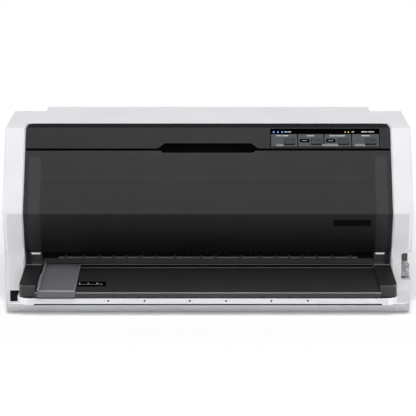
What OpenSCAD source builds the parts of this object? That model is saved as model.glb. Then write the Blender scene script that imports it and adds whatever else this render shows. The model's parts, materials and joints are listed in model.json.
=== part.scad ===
// Flatbed dot matrix printer with a hinged front cover and a front paper table.
// Millimetres. The front faces -Y, +X is the viewer's right, and the floor is Z = 0.

/* [Case] */
// Overall width of the case
case_w = 480; // [472:1:490]
// Overall depth, from the front rim to the back wall
case_d = 370; // [368:1:376]
// Overall height, from the floor to the top of the hump
case_h = 210; // [208:1:214]
// Thickness of the moulded case walls
wall = 2.6; // [2.2:0.1:2.8]
// Height of the seam between the lower and the upper case
seam_z = 13.5; // [13:0.1:14.5]
// Height of the rubber feet below the lower case
foot_h = 2; // [1.5:0.1:2.5]
// Width of each front column beside the opening
column_w = 24; // [22:0.5:26]
// Height of the knee where the front face bends
knee_z = 105.6; // [104:0.2:108]
// How far the raised middle of the top stays in from each side
hump_inset = 39; // [37:1:41]

/* [Clearances] */
// Gap between parts that stay still
fit = 0.2; // [0.1:0.05:0.3]
// Gap around parts that move
play = 0.4; // [0.35:0.05:0.5]
// Radial clearance of a pin in its bore
pin_play = 0.06; // [0.03:0.01:0.08]

/* [Control panel] */
// Height of the panel face, measured down the slope
panel_h = 26.4; // [26:0.1:27]
// Number of keys
key_count = 4; // [4:1:4]
// Width of a key
key_w = 12.2; // [10:0.1:13]
// Height of a key
key_h = 7.8; // [6:0.1:8.4]
// Spacing of the keys
key_pitch = 32; // [31:0.1:33]
// How far a key stands above the label plate
key_proud = 1.2; // [1:0.1:1.6]
// Diameter of a status lamp
lamp_d = 1.6; // [1.2:0.1:1.8]

/* [Front cover] */
// Thickness of the smoked cover
cover_t = 2.5; // [2.2:0.1:2.8]
// Gap between the panel face and the cover
cover_gap = 2.6; // [2.2:0.1:3]
// Half the width of the finger notch at its widest
notch_x = 59; // [50:1:62]
// Radius of the cover's hinge pin
cover_pin_r = 1.6; // [1.4:0.1:1.8]

/* [Paper table] */
// Height of the table's front edge
table_front_z = 26.8; // [26.6:0.1:27.4]
// Height of the table's rear edge
table_rear_z = 36.6; // [36.2:0.1:37]
// Width of each raised side block
block_w = 20.5; // [19.5:0.1:21]
// Spacing of the notches along the table's lip
notch_pitch = 15.5; // [12:0.5:20]
// Width of the edge guide
guide_w = 41; // [38:0.5:44]

/* [Paper path] */
// Height of the paper plane above the floor
paper_z = 52; // [51.8:0.1:52.2]
// Radius of the platen roller
platen_r = 14; // [13:0.5:14]
// Radius of the platen shaft
platen_shaft_r = 4; // [3.5:0.1:4.5]
// Radius of the rubber feed tyres
feed_r = 10; // [9.5:0.1:10]
// Radius of the feed shafts
feed_shaft_r = 3; // [2.5:0.1:3.4]
// Radius of the pinch rollers
pinch_r = 8; // [7:0.5:8]
// Number of tyres on each feed shaft
tyre_count = 6; // [4:1:8]
// Radius of the carriage shaft
rod_r = 6; // [5.5:0.1:6.2]
// Thickness of the steel side frames
plate_t = 1.6; // [1.2:0.1:1.8]

/* [Gears] */
// Gear module: pitch diameter over teeth
gear_m = 1; // [0.98:0.01:1.02]
// Width of the gears
gear_w = 5; // [4:0.5:5]

/* [Hidden] */
$fn = 48;

side_x = case_w / 2;
front_y = -case_d / 2;
back_y = case_d / 2;
ins_x = side_x - column_w;
hump_x = side_x - hump_inset;
base_z = foot_h;

// ---- outline helpers -------------------------------------------------------------------
function unit(v) = v / norm(v);
// The corner b between a and c, rounded to radius r in n steps
function corner(a, b, c, r, n = 6) =
    r <= 0 ? [b] :
    let (u = unit(a - b), v = unit(c - b), half = acos(max(-1, min(1, u * v))) / 2)
    let (centre = b + unit(u + v) * r / sin(half), p = b + u * r / tan(half),
         q = b + v * r / tan(half))
    let (a0 = atan2(p[1] - centre[1], p[0] - centre[0]),
         a1 = atan2(q[1] - centre[1], q[0] - centre[0]))
    let (turn = a1 - a0 > 180 ? a1 - a0 - 360 : a1 - a0 < -180 ? a1 - a0 + 360 : a1 - a0)
    [for (i = [0:n]) centre + r * [cos(a0 + turn * i / n), sin(a0 + turn * i / n)]];
function at(list, i) = list[(i + len(list)) % len(list)];
// A closed outline with each corner rounded to its own radius
function rounded(pts, radii) =
    [for (i = [0:len(pts) - 1])
        for (p = corner(at(pts, i - 1), pts[i], at(pts, i + 1), radii[i])) p];
function edge_normal(a, b) = let (d = unit(b - a)) [-d[1], d[0]];
// A counter-clockwise outline drawn in by d
function drawn_in(pts, d) =
    [for (i = [0:len(pts) - 1])
        let (n1 = edge_normal(at(pts, i - 1), pts[i]), n2 = edge_normal(pts[i], at(pts, i + 1)))
        pts[i] + (n1 + n2) / (1 + n1 * n2) * d];

// A YZ outline drawn along X
module along_x(x0, x1) {
    translate([x0, 0, 0]) rotate([90, 0, 90]) linear_extrude(x1 - x0) children();
}
// The same piece on the left and on the right
module both_sides() {
    children();
    mirror([1, 0, 0]) children();
}
module block(lo, hi) {
    translate(lo) cube(hi - lo);
}
// A round bar or bore along X
module bar_x(x0, x1, c, r) {
    translate([x0, c[0], c[1]]) rotate([0, 90, 0]) cylinder(r = r, h = x1 - x0);
}
// A flat plan with round corners
module plan(lo, hi, r, z0, z1) {
    translate([0, 0, z0]) linear_extrude(z1 - z0)
        polygon(rounded([[lo[0], lo[1]], [hi[0], lo[1]], [hi[0], hi[1]], [lo[0], hi[1]]], r));
}

// ---- side profile of the case ----------------------------------------------------------
top_front = [-55.5, case_h - 9.6];
shoulder = [back_y - 124, case_h - 1.9];
hump_top = [back_y - 94, case_h];
knee = [-108, knee_z];
shin = [-94.5, 57];
toe = [-98, seam_z];
slope = unit(top_front - knee);
slope_a = atan2(slope[1], slope[0]);
face_out = [-slope[1], slope[0]];
top_run = (shoulder[1] - top_front[1]) / (shoulder[0] - top_front[0]);
function top_z(y) = top_front[1] + (y - top_front[0]) * top_run;
function case_outline(bottom) =
    [[toe[0], bottom], [back_y, bottom], [back_y, case_h - 80], shoulder, top_front, knee, shin];
case_radii = [0, 0, 16, 8, 3, 4, 60];
function hump_outline(drop) =
    [[hump_y0, case_h - 60 - drop], [back_y - 3, case_h - 90 - drop], [back_y - 1, case_h - 76],
     [back_y - 29, case_h - 34], [back_y - 73, case_h - 6], hump_top, shoulder,
     [hump_y0, top_z(hump_y0)]];
hump_y0 = back_y - 165;
hump_radii = [0, 0, 6, 30, 30, 12, 0, 0];
hatch_y = back_y - 91;      // front edge of the opening under the rear cover
hatch_x = hump_x - 2 * wall + 0.8;
hatch_z = case_h - 110;     // lower edge of the rear paper opening
strip_y = -27;     // rear edge of the black strip on top
column_depth = -62;

// A wedge that bevels the inner front edge of a column between two profile points
module bevel(p, q, size = 2) {
    d = q - p;
    translate([ins_x, p[0], p[1]]) rotate([atan2(d[1], d[0]) - 90, 0, 0])
        translate([0, 0, -1]) linear_extrude(norm(d) + 2)
            polygon([[-0.1, -0.1], [size, -0.1], [-0.1, size]]);
}
// A cutter that rounds the outer front edge of a column along a straight stretch
module outer_edge(p, q, r) {
    d = q - p;
    translate([side_x, p[0], p[1]]) rotate([atan2(d[1], d[0]) - 90, 0, 0])
        translate([0, 0, -3]) linear_extrude(norm(d) + 6)
            difference() {
                translate([-r, -1]) square([r + 1, r + 1]);
                translate([-r, r]) circle(r);
            }
}

bay_lo = [side_x - 12.4, -120, 24];
bay_hi = [side_x + 1, -12.6, 56.5];
inlet_c = [-side_x + 54, back_y, 33];
inlet_size = [28, 20];
inlet_lo = inlet_c - [inlet_size[0], 0, inlet_size[1]] / 2;
inlet_hi = inlet_c + [inlet_size[0], 0, inlet_size[1]] / 2;
lug_c = [back_y - 8, case_h - 82];     // rear cover's pivot
lug_r = 5;
lug_pin_r = 2;

module upper_case() {
    color("#dcdde1") difference() {
        union() {
            along_x(-side_x, side_x) polygon(rounded(case_outline(seam_z), case_radii));
            along_x(-hump_x, hump_x) polygon(rounded(hump_outline(0), hump_radii));
        }
        // outer vertical edges of the columns
        both_sides() {
            outer_edge(shin, knee, 6);
            outer_edge(toe, shin, 6);
            outer_edge(knee, top_front, 1.5);
        }
        // hollow inside, split from the column pockets by the column walls
        difference() {
            union() {
                along_x(-side_x + wall, side_x - wall)
                    polygon(rounded(drawn_in(case_outline(-20), wall), [0, 0, 13, 6, 2, 2, 62]));
                along_x(-hump_x + wall, hump_x - wall)
                    polygon(rounded(drawn_in(hump_outline(40), wall), [0, 0, 4, 27, 27, 9, 0, 0]));
            }
            both_sides() block([ins_x, -130, 0], [ins_x + wall, column_depth, case_h]);
            difference() {
                block([bay_lo[0] - wall, -130, bay_lo[2] - wall],
                      [side_x, bay_hi[1] + wall, bay_hi[2] + wall]);
                along_x(0, side_x)
                    polygon([[-140, 0], [toe[0] + 2, 0], [toe[0] + 2, 80], [-140, 80]]);
            }
            block([bay_lo[0] - wall, toe[0] - 1, bay_lo[2] - wall], [side_x, -60, bay_lo[2]]);
            both_sides() block([hatch_x + play, back_y - 24, lug_c[1] - 18],
                               [hatch_x + 3, back_y, lug_c[1] + 22]);
        }
        // front opening for the panel, the cover and the table
        block([-ins_x, -150, 0], [ins_x, strip_y, case_h + 5]);
        both_sides() {
            bevel(toe, shin);
            bevel(shin, knee);
            bevel(knee, top_front);
            bevel(top_front, [strip_y, top_z(strip_y)]);
        }
        // rear opening under the rear cover, and the paper mouth below it
        block([-hatch_x, hatch_y, hatch_z], [hatch_x, back_y + 5, case_h + 5]);
        // connector bay in the right column
        intersection() {
            block(bay_lo, bay_hi);
            union() {
                block(bay_lo + [3, 0, 0], bay_hi);
                block(bay_lo + [0, 0, 3], bay_hi - [0, 0, 3]);
                for (z = [bay_lo[2] + 3, bay_hi[2] - 3])
                    translate([bay_lo[0] + 3, bay_lo[1], z]) rotate([-90, 0, 0])
                        cylinder(r = 3, h = bay_hi[1] - bay_lo[1]);
            }
        }
        connector_holes();
        // power inlet hole in the back wall
        block(inlet_lo - [fit, wall + 1, fit], inlet_hi + [fit, 1, fit]);
        // pivots of the rear cover
        bar_x(-hatch_x - 2.6, hatch_x + 2.6, lug_c, lug_pin_r + pin_play);
        // cooling slots low in both sides
        for (s = [-1, 1], i = [0:9])
            block([s * side_x - 5, back_y - 125 + 8 * i, 30], [s * side_x + 5, back_y - 122 + 8 * i, 52]);
    }
}

// ---- lower case ------------------------------------------------------------------------
rim_front = front_y + 2.4;
pan_front = rim_front + 6;
pan_x = side_x - 2.4;
nose_x = side_x - 11.4;     // half the width of the base at its front edge
undercut = 14;     // how far the bottom edge stays behind the rim
rim_top = 20;
rim_r = 17.5;
rim_x = ins_x + 1.6;
switch_x0 = -side_x + 10.3;
switch_x1 = -side_x + 21.4;
switch_y = -132;
switch_floor = 5;
pocket_front = rim_front + 17;
pinhole_x = [20.6, 72, 113.2];
function pan_points(d) =
    drawn_in([[-nose_x, pan_front], [nose_x, pan_front], [pan_x, toe[0]], [pan_x, back_y],
              [-pan_x, back_y], [-pan_x, toe[0]]], d);
// The plan of the base, narrower towards the front, drawn in by d
module pan(d, z0, z1) {
    translate([0, 0, z0]) linear_extrude(z1 - z0)
        polygon(rounded(pan_points(d), [9 - d, 9 - d, 60, 8 - d, 8 - d, 60]));
}
// The pocket in front of the power switch, whose outer wall follows the side of the base
module switch_pocket(d, z0, z1) {
    lean = 0.1063;
    translate([0, 0, z0]) linear_extrude(z1 - z0)
        polygon([[switch_x0 + (switch_y - pocket_front) * lean - d, pocket_front - d],
                 [switch_x1 + min(d, 1), pocket_front - d], [switch_x1 + min(d, 1), -110 + d],
                 [switch_x0 - 22 * lean - d, -110 + d]]);
}

module lower_case() {
    color("#e6e7ea") difference() {
        union() {
            difference() {
                pan(0, base_z, seam_z);
                pan(wall, base_z + wall, seam_z + 1);
                // undercut lower front face
                along_x(-side_x, side_x)
                    polygon([[front_y - 20, -1], [rim_front + undercut, base_z], [rim_front + 3, 12.4],
                             [front_y - 20, 12.4]]);
            }
            // closing web behind the undercut, round into the corners
            intersection() {
                along_x(-pan_x, pan_x)
                    polygon([[rim_front + undercut, base_z], [rim_front + undercut + 4, base_z],
                             [rim_front + 8, 12.4], [rim_front + 3, 12.4]]);
                pan(0, base_z, seam_z);
            }
            // lip below the shadow groove, round into the corners like the rim
            intersection() {
                along_x(-rim_x, rim_x)
                    polygon([[rim_front + undercut, base_z], [rim_front + undercut + 4, base_z],
                             [rim_front + 8, 12.4], [rim_front + 1, 12.4], [rim_front + 1, 11.7]]);
                plan([-rim_x + 1, rim_front + 1], [rim_x - 1, -100], [rim_r - 1, rim_r - 1, 0.01, 0.01],
                     0, 12.4);
            }
            // ledges beside the table
            both_sides() intersection() {
                block([rim_x - wall, pan_front, seam_z - wall], [pan_x, -89, seam_z]);
                pan(0, base_z, seam_z);
            }
            // front rim that holds the table
            difference() {
                plan([-rim_x, rim_front], [rim_x, toe[0] - fit], [rim_r, rim_r, 0.01, 0.01], 12.4, rim_top);
                plan([-rim_x + wall, rim_front + wall], [rim_x - wall, -88],
                     [rim_r - wall, rim_r - wall, 0.01, 0.01], 15, rim_top + 1);
                plan([-rim_x + wall + 12, rim_front + wall + 12], [rim_x - wall - 12, -88],
                     [6, 6, 0.01, 0.01], 12, rim_top + 1);
            }
            // walls of the switch pocket
            switch_pocket(1.6, base_z, seam_z);
            // posts for the case screws
            for (s = [-1, 1], y = [-70, back_y - 14]) translate([s * (side_x - 13), y, base_z])
                cylinder(r = 4, h = seam_z - base_z);
        }
        // shadow groove under the rim
        block([20.2 - rim_x, rim_front - 1, 12.4], [rim_x - 20.2, rim_front + 5, 13.7]);
        switch_pocket(0, switch_floor, seam_z + 10);
        // pinholes in the front of the rim
        for (s = [-1, 1], x = pinhole_x) translate([s * x, rim_front - 1, rim_top - 2.6])
            rotate([-90, 0, 0]) cylinder(r = 0.8, h = 3);
        // holes for the case screws, and for the feet
        for (s = [-1, 1], y = [-70, back_y - 14]) translate([s * (side_x - 13), y, base_z - 1])
            cylinder(r = 1.6, h = seam_z + 5);
        // cooling slots in the floor
        for (i = [0:11])
            block([40 + 12 * i, 90, base_z - 1], [44 + 12 * i, back_y - 35, base_z + wall + 1]);
    }
}

module rubber_feet() {
    color("#2a2a2c") for (x = [-side_x + 40, side_x - 40], y = [front_y + 45, back_y - 25])
        translate([x, y, 0]) cylinder(r = 9, h = foot_h);
}

module case_screws() {
    color("#9a9ca0") for (s = [-1, 1], y = [-70, back_y - 14])
        translate([s * (side_x - 13), y, base_z + 0.4]) {
            cylinder(r = 1.5, h = seam_z - base_z - 1.4);
        }
}

// ---- power switch ----------------------------------------------------------------------
rocker_c = [switch_y + 2.2, 12.3];
module switch_housing() {
    color("#141415") difference() {
        along_x(switch_x0 + fit, switch_x1 - fit)
            polygon([[switch_y, switch_floor], [-110 - fit, switch_floor], [-110 - fit, 14.9],
                     [switch_y, 19.4]]);
        along_x(switch_x0 + fit + 1.2, switch_x1 - fit - 1.2)
            polygon([[switch_y - 1, 6.4], [-122, 6.4], [-122, 16], [switch_y - 1, 18.3]]);
        bar_x(switch_x0 + fit - 1, switch_x1, rocker_c, 0.8 + pin_play);
    }
}
module power_rocker() {
    color("#1b1b1d") {
        along_x(switch_x0 + fit + 1.2 + play, switch_x1 - fit - 1.2 - play)
            polygon([[rocker_c[0] - 1.4, rocker_c[1] - 4.6], [rocker_c[0] + 2.5, rocker_c[1] - 3.8],
                     [rocker_c[0] + 2.5, rocker_c[1] + 3.8], [rocker_c[0] - 1.4, rocker_c[1] + 4.6],
                     [rocker_c[0] - 0.6, rocker_c[1]]]);
        bar_x(switch_x0 + fit + 0.3, switch_x1 - fit - 0.3, rocker_c, 0.8);
    }
}

// ---- control panel ---------------------------------------------------------------------
// Places children on the sloping face: y runs up the slope, z outwards
module on_face() {
    translate([0, top_front[0], top_front[1]]) rotate([slope_a, 0, 0]) children();
}
key_x = [for (i = [0:key_count - 1]) ins_x - 119.6 + i * key_pitch];
key_s = 17.8;
label_lo = [ins_x - 142.4, -25];
label_hi = [ins_x - 13, -1.6];
label_t = 0.5;
lamp_x = [for (d = [4.2, 9.2, 14.2, 88.8, 92.6]) label_lo[0] + d];
lamp_s = 5.9;
panel_x = ins_x - 0.8;

module key_windows(depth, gap) {
    on_face() for (x = key_x)
        translate([x - key_w / 2 - gap, -key_s - key_h / 2 - gap, -depth])
            cube([key_w + 2 * gap, key_h + 2 * gap, depth + 3]);
}
module panel_bezel() {
    a = [strip_y - fit, top_z(strip_y - fit)];
    c = top_front - slope * panel_h;
    b_in = drawn_in([a, top_front, c], wall)[1];
    color("#3a3a3b") difference() {
        union() {
            along_x(-panel_x, panel_x)
                polygon([a, top_front, c, c - face_out * 12, c - face_out * 12 + slope * wall,
                         c - face_out * wall + slope * wall, b_in, [a[0], a[1] - wall]]);
            // end cheeks and the back wall of the finger pocket
            both_sides() along_x(panel_x - wall, panel_x)
                polygon([a, top_front, c, c - face_out * 12, [a[0], a[1] - 14]]);
            on_face() translate([-notch_x - 6, -panel_h, -14])
                cube([2 * notch_x + 12, 12, 2.2]);
        }
        // finger notch, wider at the bottom
        on_face() linear_extrude(height = 40, center = true)
            polygon(rounded([[-notch_x, -panel_h - 1], [notch_x, -panel_h - 1],
                             [notch_x, -panel_h + 0.6], [notch_x - 8, -panel_h + 6.6],
                             [-notch_x + 8, -panel_h + 6.6], [-notch_x, -panel_h + 0.6]],
                            [0, 0, 1, 2.5, 2.5, 1]));
        key_windows(6, play);
        // seats of the lamps
        on_face() for (x = lamp_x) translate([x, -lamp_s, -4]) cylinder(d = lamp_d, h = 6);
        // chamfered rear corners of the top strip
        both_sides() translate([panel_x, strip_y, case_h - 20]) rotate([0, 0, 45])
            cube([7, 7, 60], center = true);
    }
}
module panel_label() {
    color("#565c5f") difference() {
        on_face() translate([label_lo[0], label_lo[1], 0])
            cube([label_hi[0] - label_lo[0], label_hi[1] - label_lo[1], label_t]);
        key_windows(6, play);
        on_face() for (x = lamp_x) translate([x, -lamp_s, -4]) cylinder(d = lamp_d, h = 6);
    }
}
module status_lamps() {
    color("#3d7bd0") on_face() for (x = lamp_x) translate([x, -lamp_s, -4]) {
        cylinder(d = lamp_d, h = 4 + label_t + 0.2);
    }
}
module panel_key(i) {
    color("#3c3f42") on_face() translate([key_x[i], -key_s, 0]) {
        difference() {
            translate([-key_w / 2, -key_h / 2, -5.4]) cube([key_w, key_h, 5.4 + label_t + key_proud]);
            // shallow finger dish
            translate([0, 0, label_t + key_proud + 29.7]) rotate([0, 90, 0])
                cylinder(r = 30, h = key_w - 2, center = true, $fn = 96);
        }
        translate([-1.5, -1.5, -8.4]) cube([3, 3, 3]);
    }
}
board_depth = 9.8;
module panel_board() {
    color("#2c5a3a") on_face() translate([ins_x - 150, -panel_h + wall + 0.4, -board_depth - 1.6])
        cube([142, panel_h - wall - 1.6, 1.6]);
    color("#1d1d1f") on_face() for (x = key_x)
        translate([x - 3, -key_s - 3, -board_depth]) cube([6, 6, 0.4]);
    color("#c9cacc") on_face() for (x = [ins_x - 147, ins_x - 11]) translate([x, -6, -board_depth])
        cylinder(r = 2, h = board_depth - wall);
}

// ---- front cover -----------------------------------------------------------------------
cover_pivot = [-84, 58];
cover_s = -panel_h - cover_gap;
cover_top = top_front + slope * cover_s;
cover_foot = [-91.4, 56.6];
cover_x = ins_x - 1.2;
bracket_w = 10.4;
bracket_r = 3.4;
bracket_x = [ins_x - 7 - bracket_w, ins_x - 7];
module front_cover() {
    arm = [bracket_x[1] + play, bracket_x[1] + play + 2.4];
    inner = drawn_in([[-40, cover_top[1]], cover_top, knee, cover_foot, [-40, cover_foot[1]]], cover_t);
    color("#3b3b3c") difference() {
        union() {
            along_x(-cover_x, cover_x)
                polygon(concat([cover_top], corner(cover_top, knee, cover_foot, 3), [cover_foot],
                               [cover_foot + [cover_t + 0.2, 0.4]], [inner[2]],
                               [cover_top - face_out * cover_t]));
            // stiffening lip along the top edge
            on_face() translate([-cover_x, cover_s - cover_t, -8])
                cube([2 * cover_x, cover_t, 8 - 0.1]);
            // arms and pins of the hinge
            both_sides() {
                along_x(arm[0], arm[1])
                    polygon([cover_foot + [0.6, 0.4], cover_pivot + [0, -3.2], cover_pivot + [3.2, 0],
                             cover_pivot + [2.4, 3.4], cover_foot + [-4.4, 14.5]]);
                bar_x(bracket_x[0] + 3, arm[0], cover_pivot, cover_pin_r);
            }
        }
        on_face() linear_extrude(height = 40, center = true)
            polygon(rounded([[-notch_x + 1, cover_s + 1], [-notch_x + 6, cover_s - 3],
                             [notch_x - 6, cover_s - 3], [notch_x - 1, cover_s + 1]], [0, 2, 2, 0]));
    }
}
module cover_brackets() {
    color("#c9cacc") both_sides() difference() {
        union() {
            bar_x(bracket_x[0], bracket_x[1], cover_pivot, bracket_r);
            along_x(bracket_x[0], bracket_x[1])
                polygon([cover_pivot - [0, bracket_r], cover_pivot + [3.5, -bracket_r],
                         [cover_pivot[0] + 3.5, pedestal_z], [-66, pedestal_z],
                         [-66, cover_pivot[1] + bracket_r], cover_pivot + [0, bracket_r]]);
        }
        bar_x(bracket_x[0] - 1, bracket_x[1] + 1, cover_pivot, cover_pin_r + pin_play);
    }
}

// ---- paper table and guide -------------------------------------------------------------
table_front = rim_front + 0.6;
table_rear = -78;
table_run = (table_rear_z - table_front_z) / (table_rear - table_front);
function table_z(y) = table_front_z + (y - table_front) * table_run;
block_x = [ins_x - block_w + 0.4, ins_x - fit - 0.2];
pedestal_z = cover_pivot[1] - 5.7;
module front_table() {
    color("#2b2b2c") difference() {
        union() {
            along_x(-block_x[0] - 1, block_x[0] + 1)
                polygon([[table_front, rim_top], [table_front + 3, rim_top],
                         [table_front + 3, table_z(table_front + 3) - 3],
                         [table_rear, table_rear_z - 3], [table_rear, table_rear_z],
                         [table_front + 0.8, table_z(table_front + 0.8)],
                         [table_front, table_front_z - 0.8]]);
            both_sides() intersection() {
                along_x(block_x[0], block_x[1])
                    polygon([[table_front + 6, rim_top], [table_front + 30, rim_top], [-86, 30],
                             [-86, 41.8], [table_front + 6.6, table_z(table_front + 6) + 6],
                             [table_front + 6, table_z(table_front + 6) + 5.4]]);
                plan([-block_x[1], table_front], [block_x[1], 0], [16, 16, 0.01, 0.01], 0, 100);
            }
            // stiffening ribs under the table
            for (x = [-150:50:150]) along_x(x, x + 2)
                polygon([[table_front + 4, rim_top], [-96, 26], [-84, table_z(-84) - 2],
                         [table_front + 4, table_z(table_front + 4) - 2]]);
        }
        // small notches along the bottom of the lip
        for (x = [-block_x[0] + 9.9:notch_pitch:block_x[0] - 9.9])
            block([x - 1.4, table_front - 1, rim_top - 1], [x + 1.4, table_front + 0.6, rim_top + 1.2]);
        block([block_x[0] - 10.9, table_front - 1, rim_top - 1],
              [block_x[0] - 6.3, table_front + 1.2, rim_top + 1.6]);
    }
}
guide_x0 = -block_x[0] + 2.1;
guide_front = front_y;
guide_rear = -81;
module edge_guide() {
    lift = play;
    t = 2.4;
    rear_z = table_z(guide_rear) + lift;
    color("#5b5c60") {
        // plate over the table with its front lip
        along_x(guide_x0 + 2, guide_x0 + 2 + guide_w)
            polygon([[table_front - play, table_front_z + lift], [guide_rear, rear_z],
                     [guide_rear, rear_z + t + 2], [guide_front + 1.2, table_front_z + lift + t],
                     [guide_front, table_front_z + lift + t - 1.2],
                     [guide_front, rim_top + 0.6], [table_front - play, rim_top + 0.6]]);
        // paper fence on the outer side, lower towards the slot
        along_x(guide_x0 + 1, guide_x0 + 3)
            polygon([[guide_front + 4, table_z(guide_front + 4) + lift], [guide_rear, rear_z],
                     [guide_rear, rear_z + 7], [-128, table_z(-128) + 7.6],
                     [-132, table_z(-132) + 8.6], [-160, table_z(-160) + 8.6],
                     [guide_front + 4, table_z(guide_front) + 6.4]]);
        along_x(guide_x0, guide_x0 + 2)
            polygon([[guide_front + 0.3, rim_top + 0.6], [table_front - play, rim_top + 0.6],
                     [table_front - play, table_front_z + lift], [-134, table_z(-134) + lift],
                     [-134, table_z(-134) + 7.8], [-160, table_z(-160) + 8],
                     [guide_front + 0.3, table_z(guide_front) + 4.4]]);
    }
}
slot_top = paper_z - 1.2;
guide_y = table_rear + fit;
lip_y = guide_y + 8.8;
lip_x = 177.7;
lip_gaps = [8.9, 38.7, 62.2, 80.5, 97.1, 112.6, 129.3, 148.2, 169];
module paper_guide() {
    color("#2e2e2f") {
        // sloping nose over a recess with a thin ledge
        along_x(-block_x[0], block_x[0])
            polygon([[guide_y + 4, 34], [guide_y + 7, 34], [guide_y + 7, 42], [-60, 42],
                     [-60, slot_top - 1], [lip_y, 45.6], [guide_y, 41.4], [guide_y, 41],
                     [guide_y + 4, 41], [guide_y + 4, 40.2], [guide_y, 40.2], [guide_y, 39],
                     [guide_y + 4, 39]]);
        // upright lip with gaps
        difference() {
            along_x(-lip_x, lip_x)
                polygon([[lip_y, 45.5], [-60.2, 45.5], [-60.2, slot_top - 1.1], [lip_y, 47.4]]);
            for (s = [-1, 1], x = lip_gaps)
                block([s * x - 1.7, lip_y - 1, 45.6], [s * x + 1.7, lip_y + 3, slot_top]);
        }
        // ribs that the paper runs on
        for (x = [-block_x[0] + 23.9:7.6:block_x[0] - 19.9]) along_x(x, x + 5.4)
            polygon([[lip_y + 3.4, 46], [-60.4, 46], [-60.4, slot_top], [lip_y + 6.4, slot_top]]);
        both_sides() {
            // raised ends that carry the cover's brackets
            along_x(block_x[0] - 0.1, bracket_x[1] + 2.2)
                polygon([[guide_y, 36], [-62, 36], [-62, 44], [guide_y + 3.8, 44], [guide_y + 1.8, 42.6],
                         [guide_y, 40.4]]);
            block([block_x[0] + 1, guide_y + 3.8, 43], [bracket_x[1], -62, pedestal_z]);
            // end cheeks that close the gap beside the frame
            block([bracket_x[1], guide_y, 36], [ins_x - 0.6, guide_y + 2, 64]);
        }
    }
}

// ---- frame -----------------------------------------------------------------------------
frame_in = ins_x - 8.6;
frame_out = frame_in + plate_t;
platen_c = [0, paper_z - platen_r];
platen_teeth = 28;
idler_teeth = 24;
feed_teeth = 20;
pinion_teeth = 12;
function pitch_r(teeth) = gear_m * teeth / 2;
feed_rise = platen_r - feed_r;
feed_span = pitch_r(platen_teeth) + 2 * pitch_r(idler_teeth) + pitch_r(feed_teeth);
feed_a = asin(feed_rise / feed_span);
front_dir = [-cos(feed_a), sin(feed_a)];
rear_dir = [cos(feed_a), sin(feed_a)];
front_feed_c = platen_c + front_dir * feed_span;
rear_feed_c = platen_c + rear_dir * feed_span;
idler_step = pitch_r(platen_teeth) + pitch_r(idler_teeth);
front_idler_c = platen_c + front_dir * idler_step;
rear_idler_c = platen_c + rear_dir * idler_step;
pinion_c = rear_idler_c - [0, pitch_r(idler_teeth) + pitch_r(pinion_teeth)];
front_pinch_c = [front_feed_c[0], paper_z + pinch_r + 0.3];
rear_pinch_c = [rear_feed_c[0], paper_z + pinch_r + 0.3];
rod_c = [34, 84];
tractor_c = [back_y - 55, 84];
tractor_rod_c = [tractor_c[0] - 22, 78];

plate_bottom = base_z + wall;
frame_top = case_h - 45;
module frame_flat() {
    polygon([[-58, plate_bottom + plate_t], [back_y - 35, plate_bottom + plate_t], [back_y - 35, 104],
             [84, 112], [24, frame_top - 15], [-56, frame_top], [-64, frame_top],
             [-95.4, knee_z + 2.4], [-84.6, 66], [-58, 66]]);
}
module frame_bore(c, r) {
    bar_x(frame_in - 15, frame_out + 5, c, r);
}
module frame_bores() {
    frame_bore(platen_c, platen_shaft_r + pin_play);
    for (c = [front_feed_c, rear_feed_c]) frame_bore(c, feed_shaft_r + pin_play);
    for (c = [front_pinch_c, rear_pinch_c]) frame_bore(c, 2.5 + pin_play);
    frame_bore(rod_c, rod_r);
    frame_bore(tractor_c, 4 + pin_play);
    frame_bore(tractor_rod_c, 4);
}
module side_frame(gear_side) {
    color("#8f9296") difference() {
        union() {
            along_x(frame_in, frame_out) frame_flat();
            // flange behind the smoked cover
            along_x(frame_in - 11, frame_out)
                polygon([[-64, frame_top], [-95.4, knee_z + 2.4], [-84.6, 66], [-84.6 + plate_t, 66],
                         [-95.4 + plate_t, knee_z + 2.4], [-64 + plate_t, frame_top]]);
            // foot flange
            block([frame_in - 11, -50, plate_bottom + plate_t],
                  [frame_out, back_y - 45, plate_bottom + 2 * plate_t]);
        }
        frame_bores();
        if (gear_side) {
            for (c = [front_idler_c, rear_idler_c]) frame_bore(c, 3);
            frame_bore(pinion_c, 4);
        }
    }
}
module side_frame_left() { mirror([1, 0, 0]) side_frame(true); }
module side_frame_right() { side_frame(false); }

module chassis_plate() {
    color("#a4a7ab") difference() {
        block([-frame_out, -58, plate_bottom], [frame_out, back_y - 25, plate_bottom + plate_t]);
        for (i = [0:11]) block([40 + 12 * i, 90, 0], [44 + 12 * i, back_y - 35, 10]);
    }
}

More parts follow.
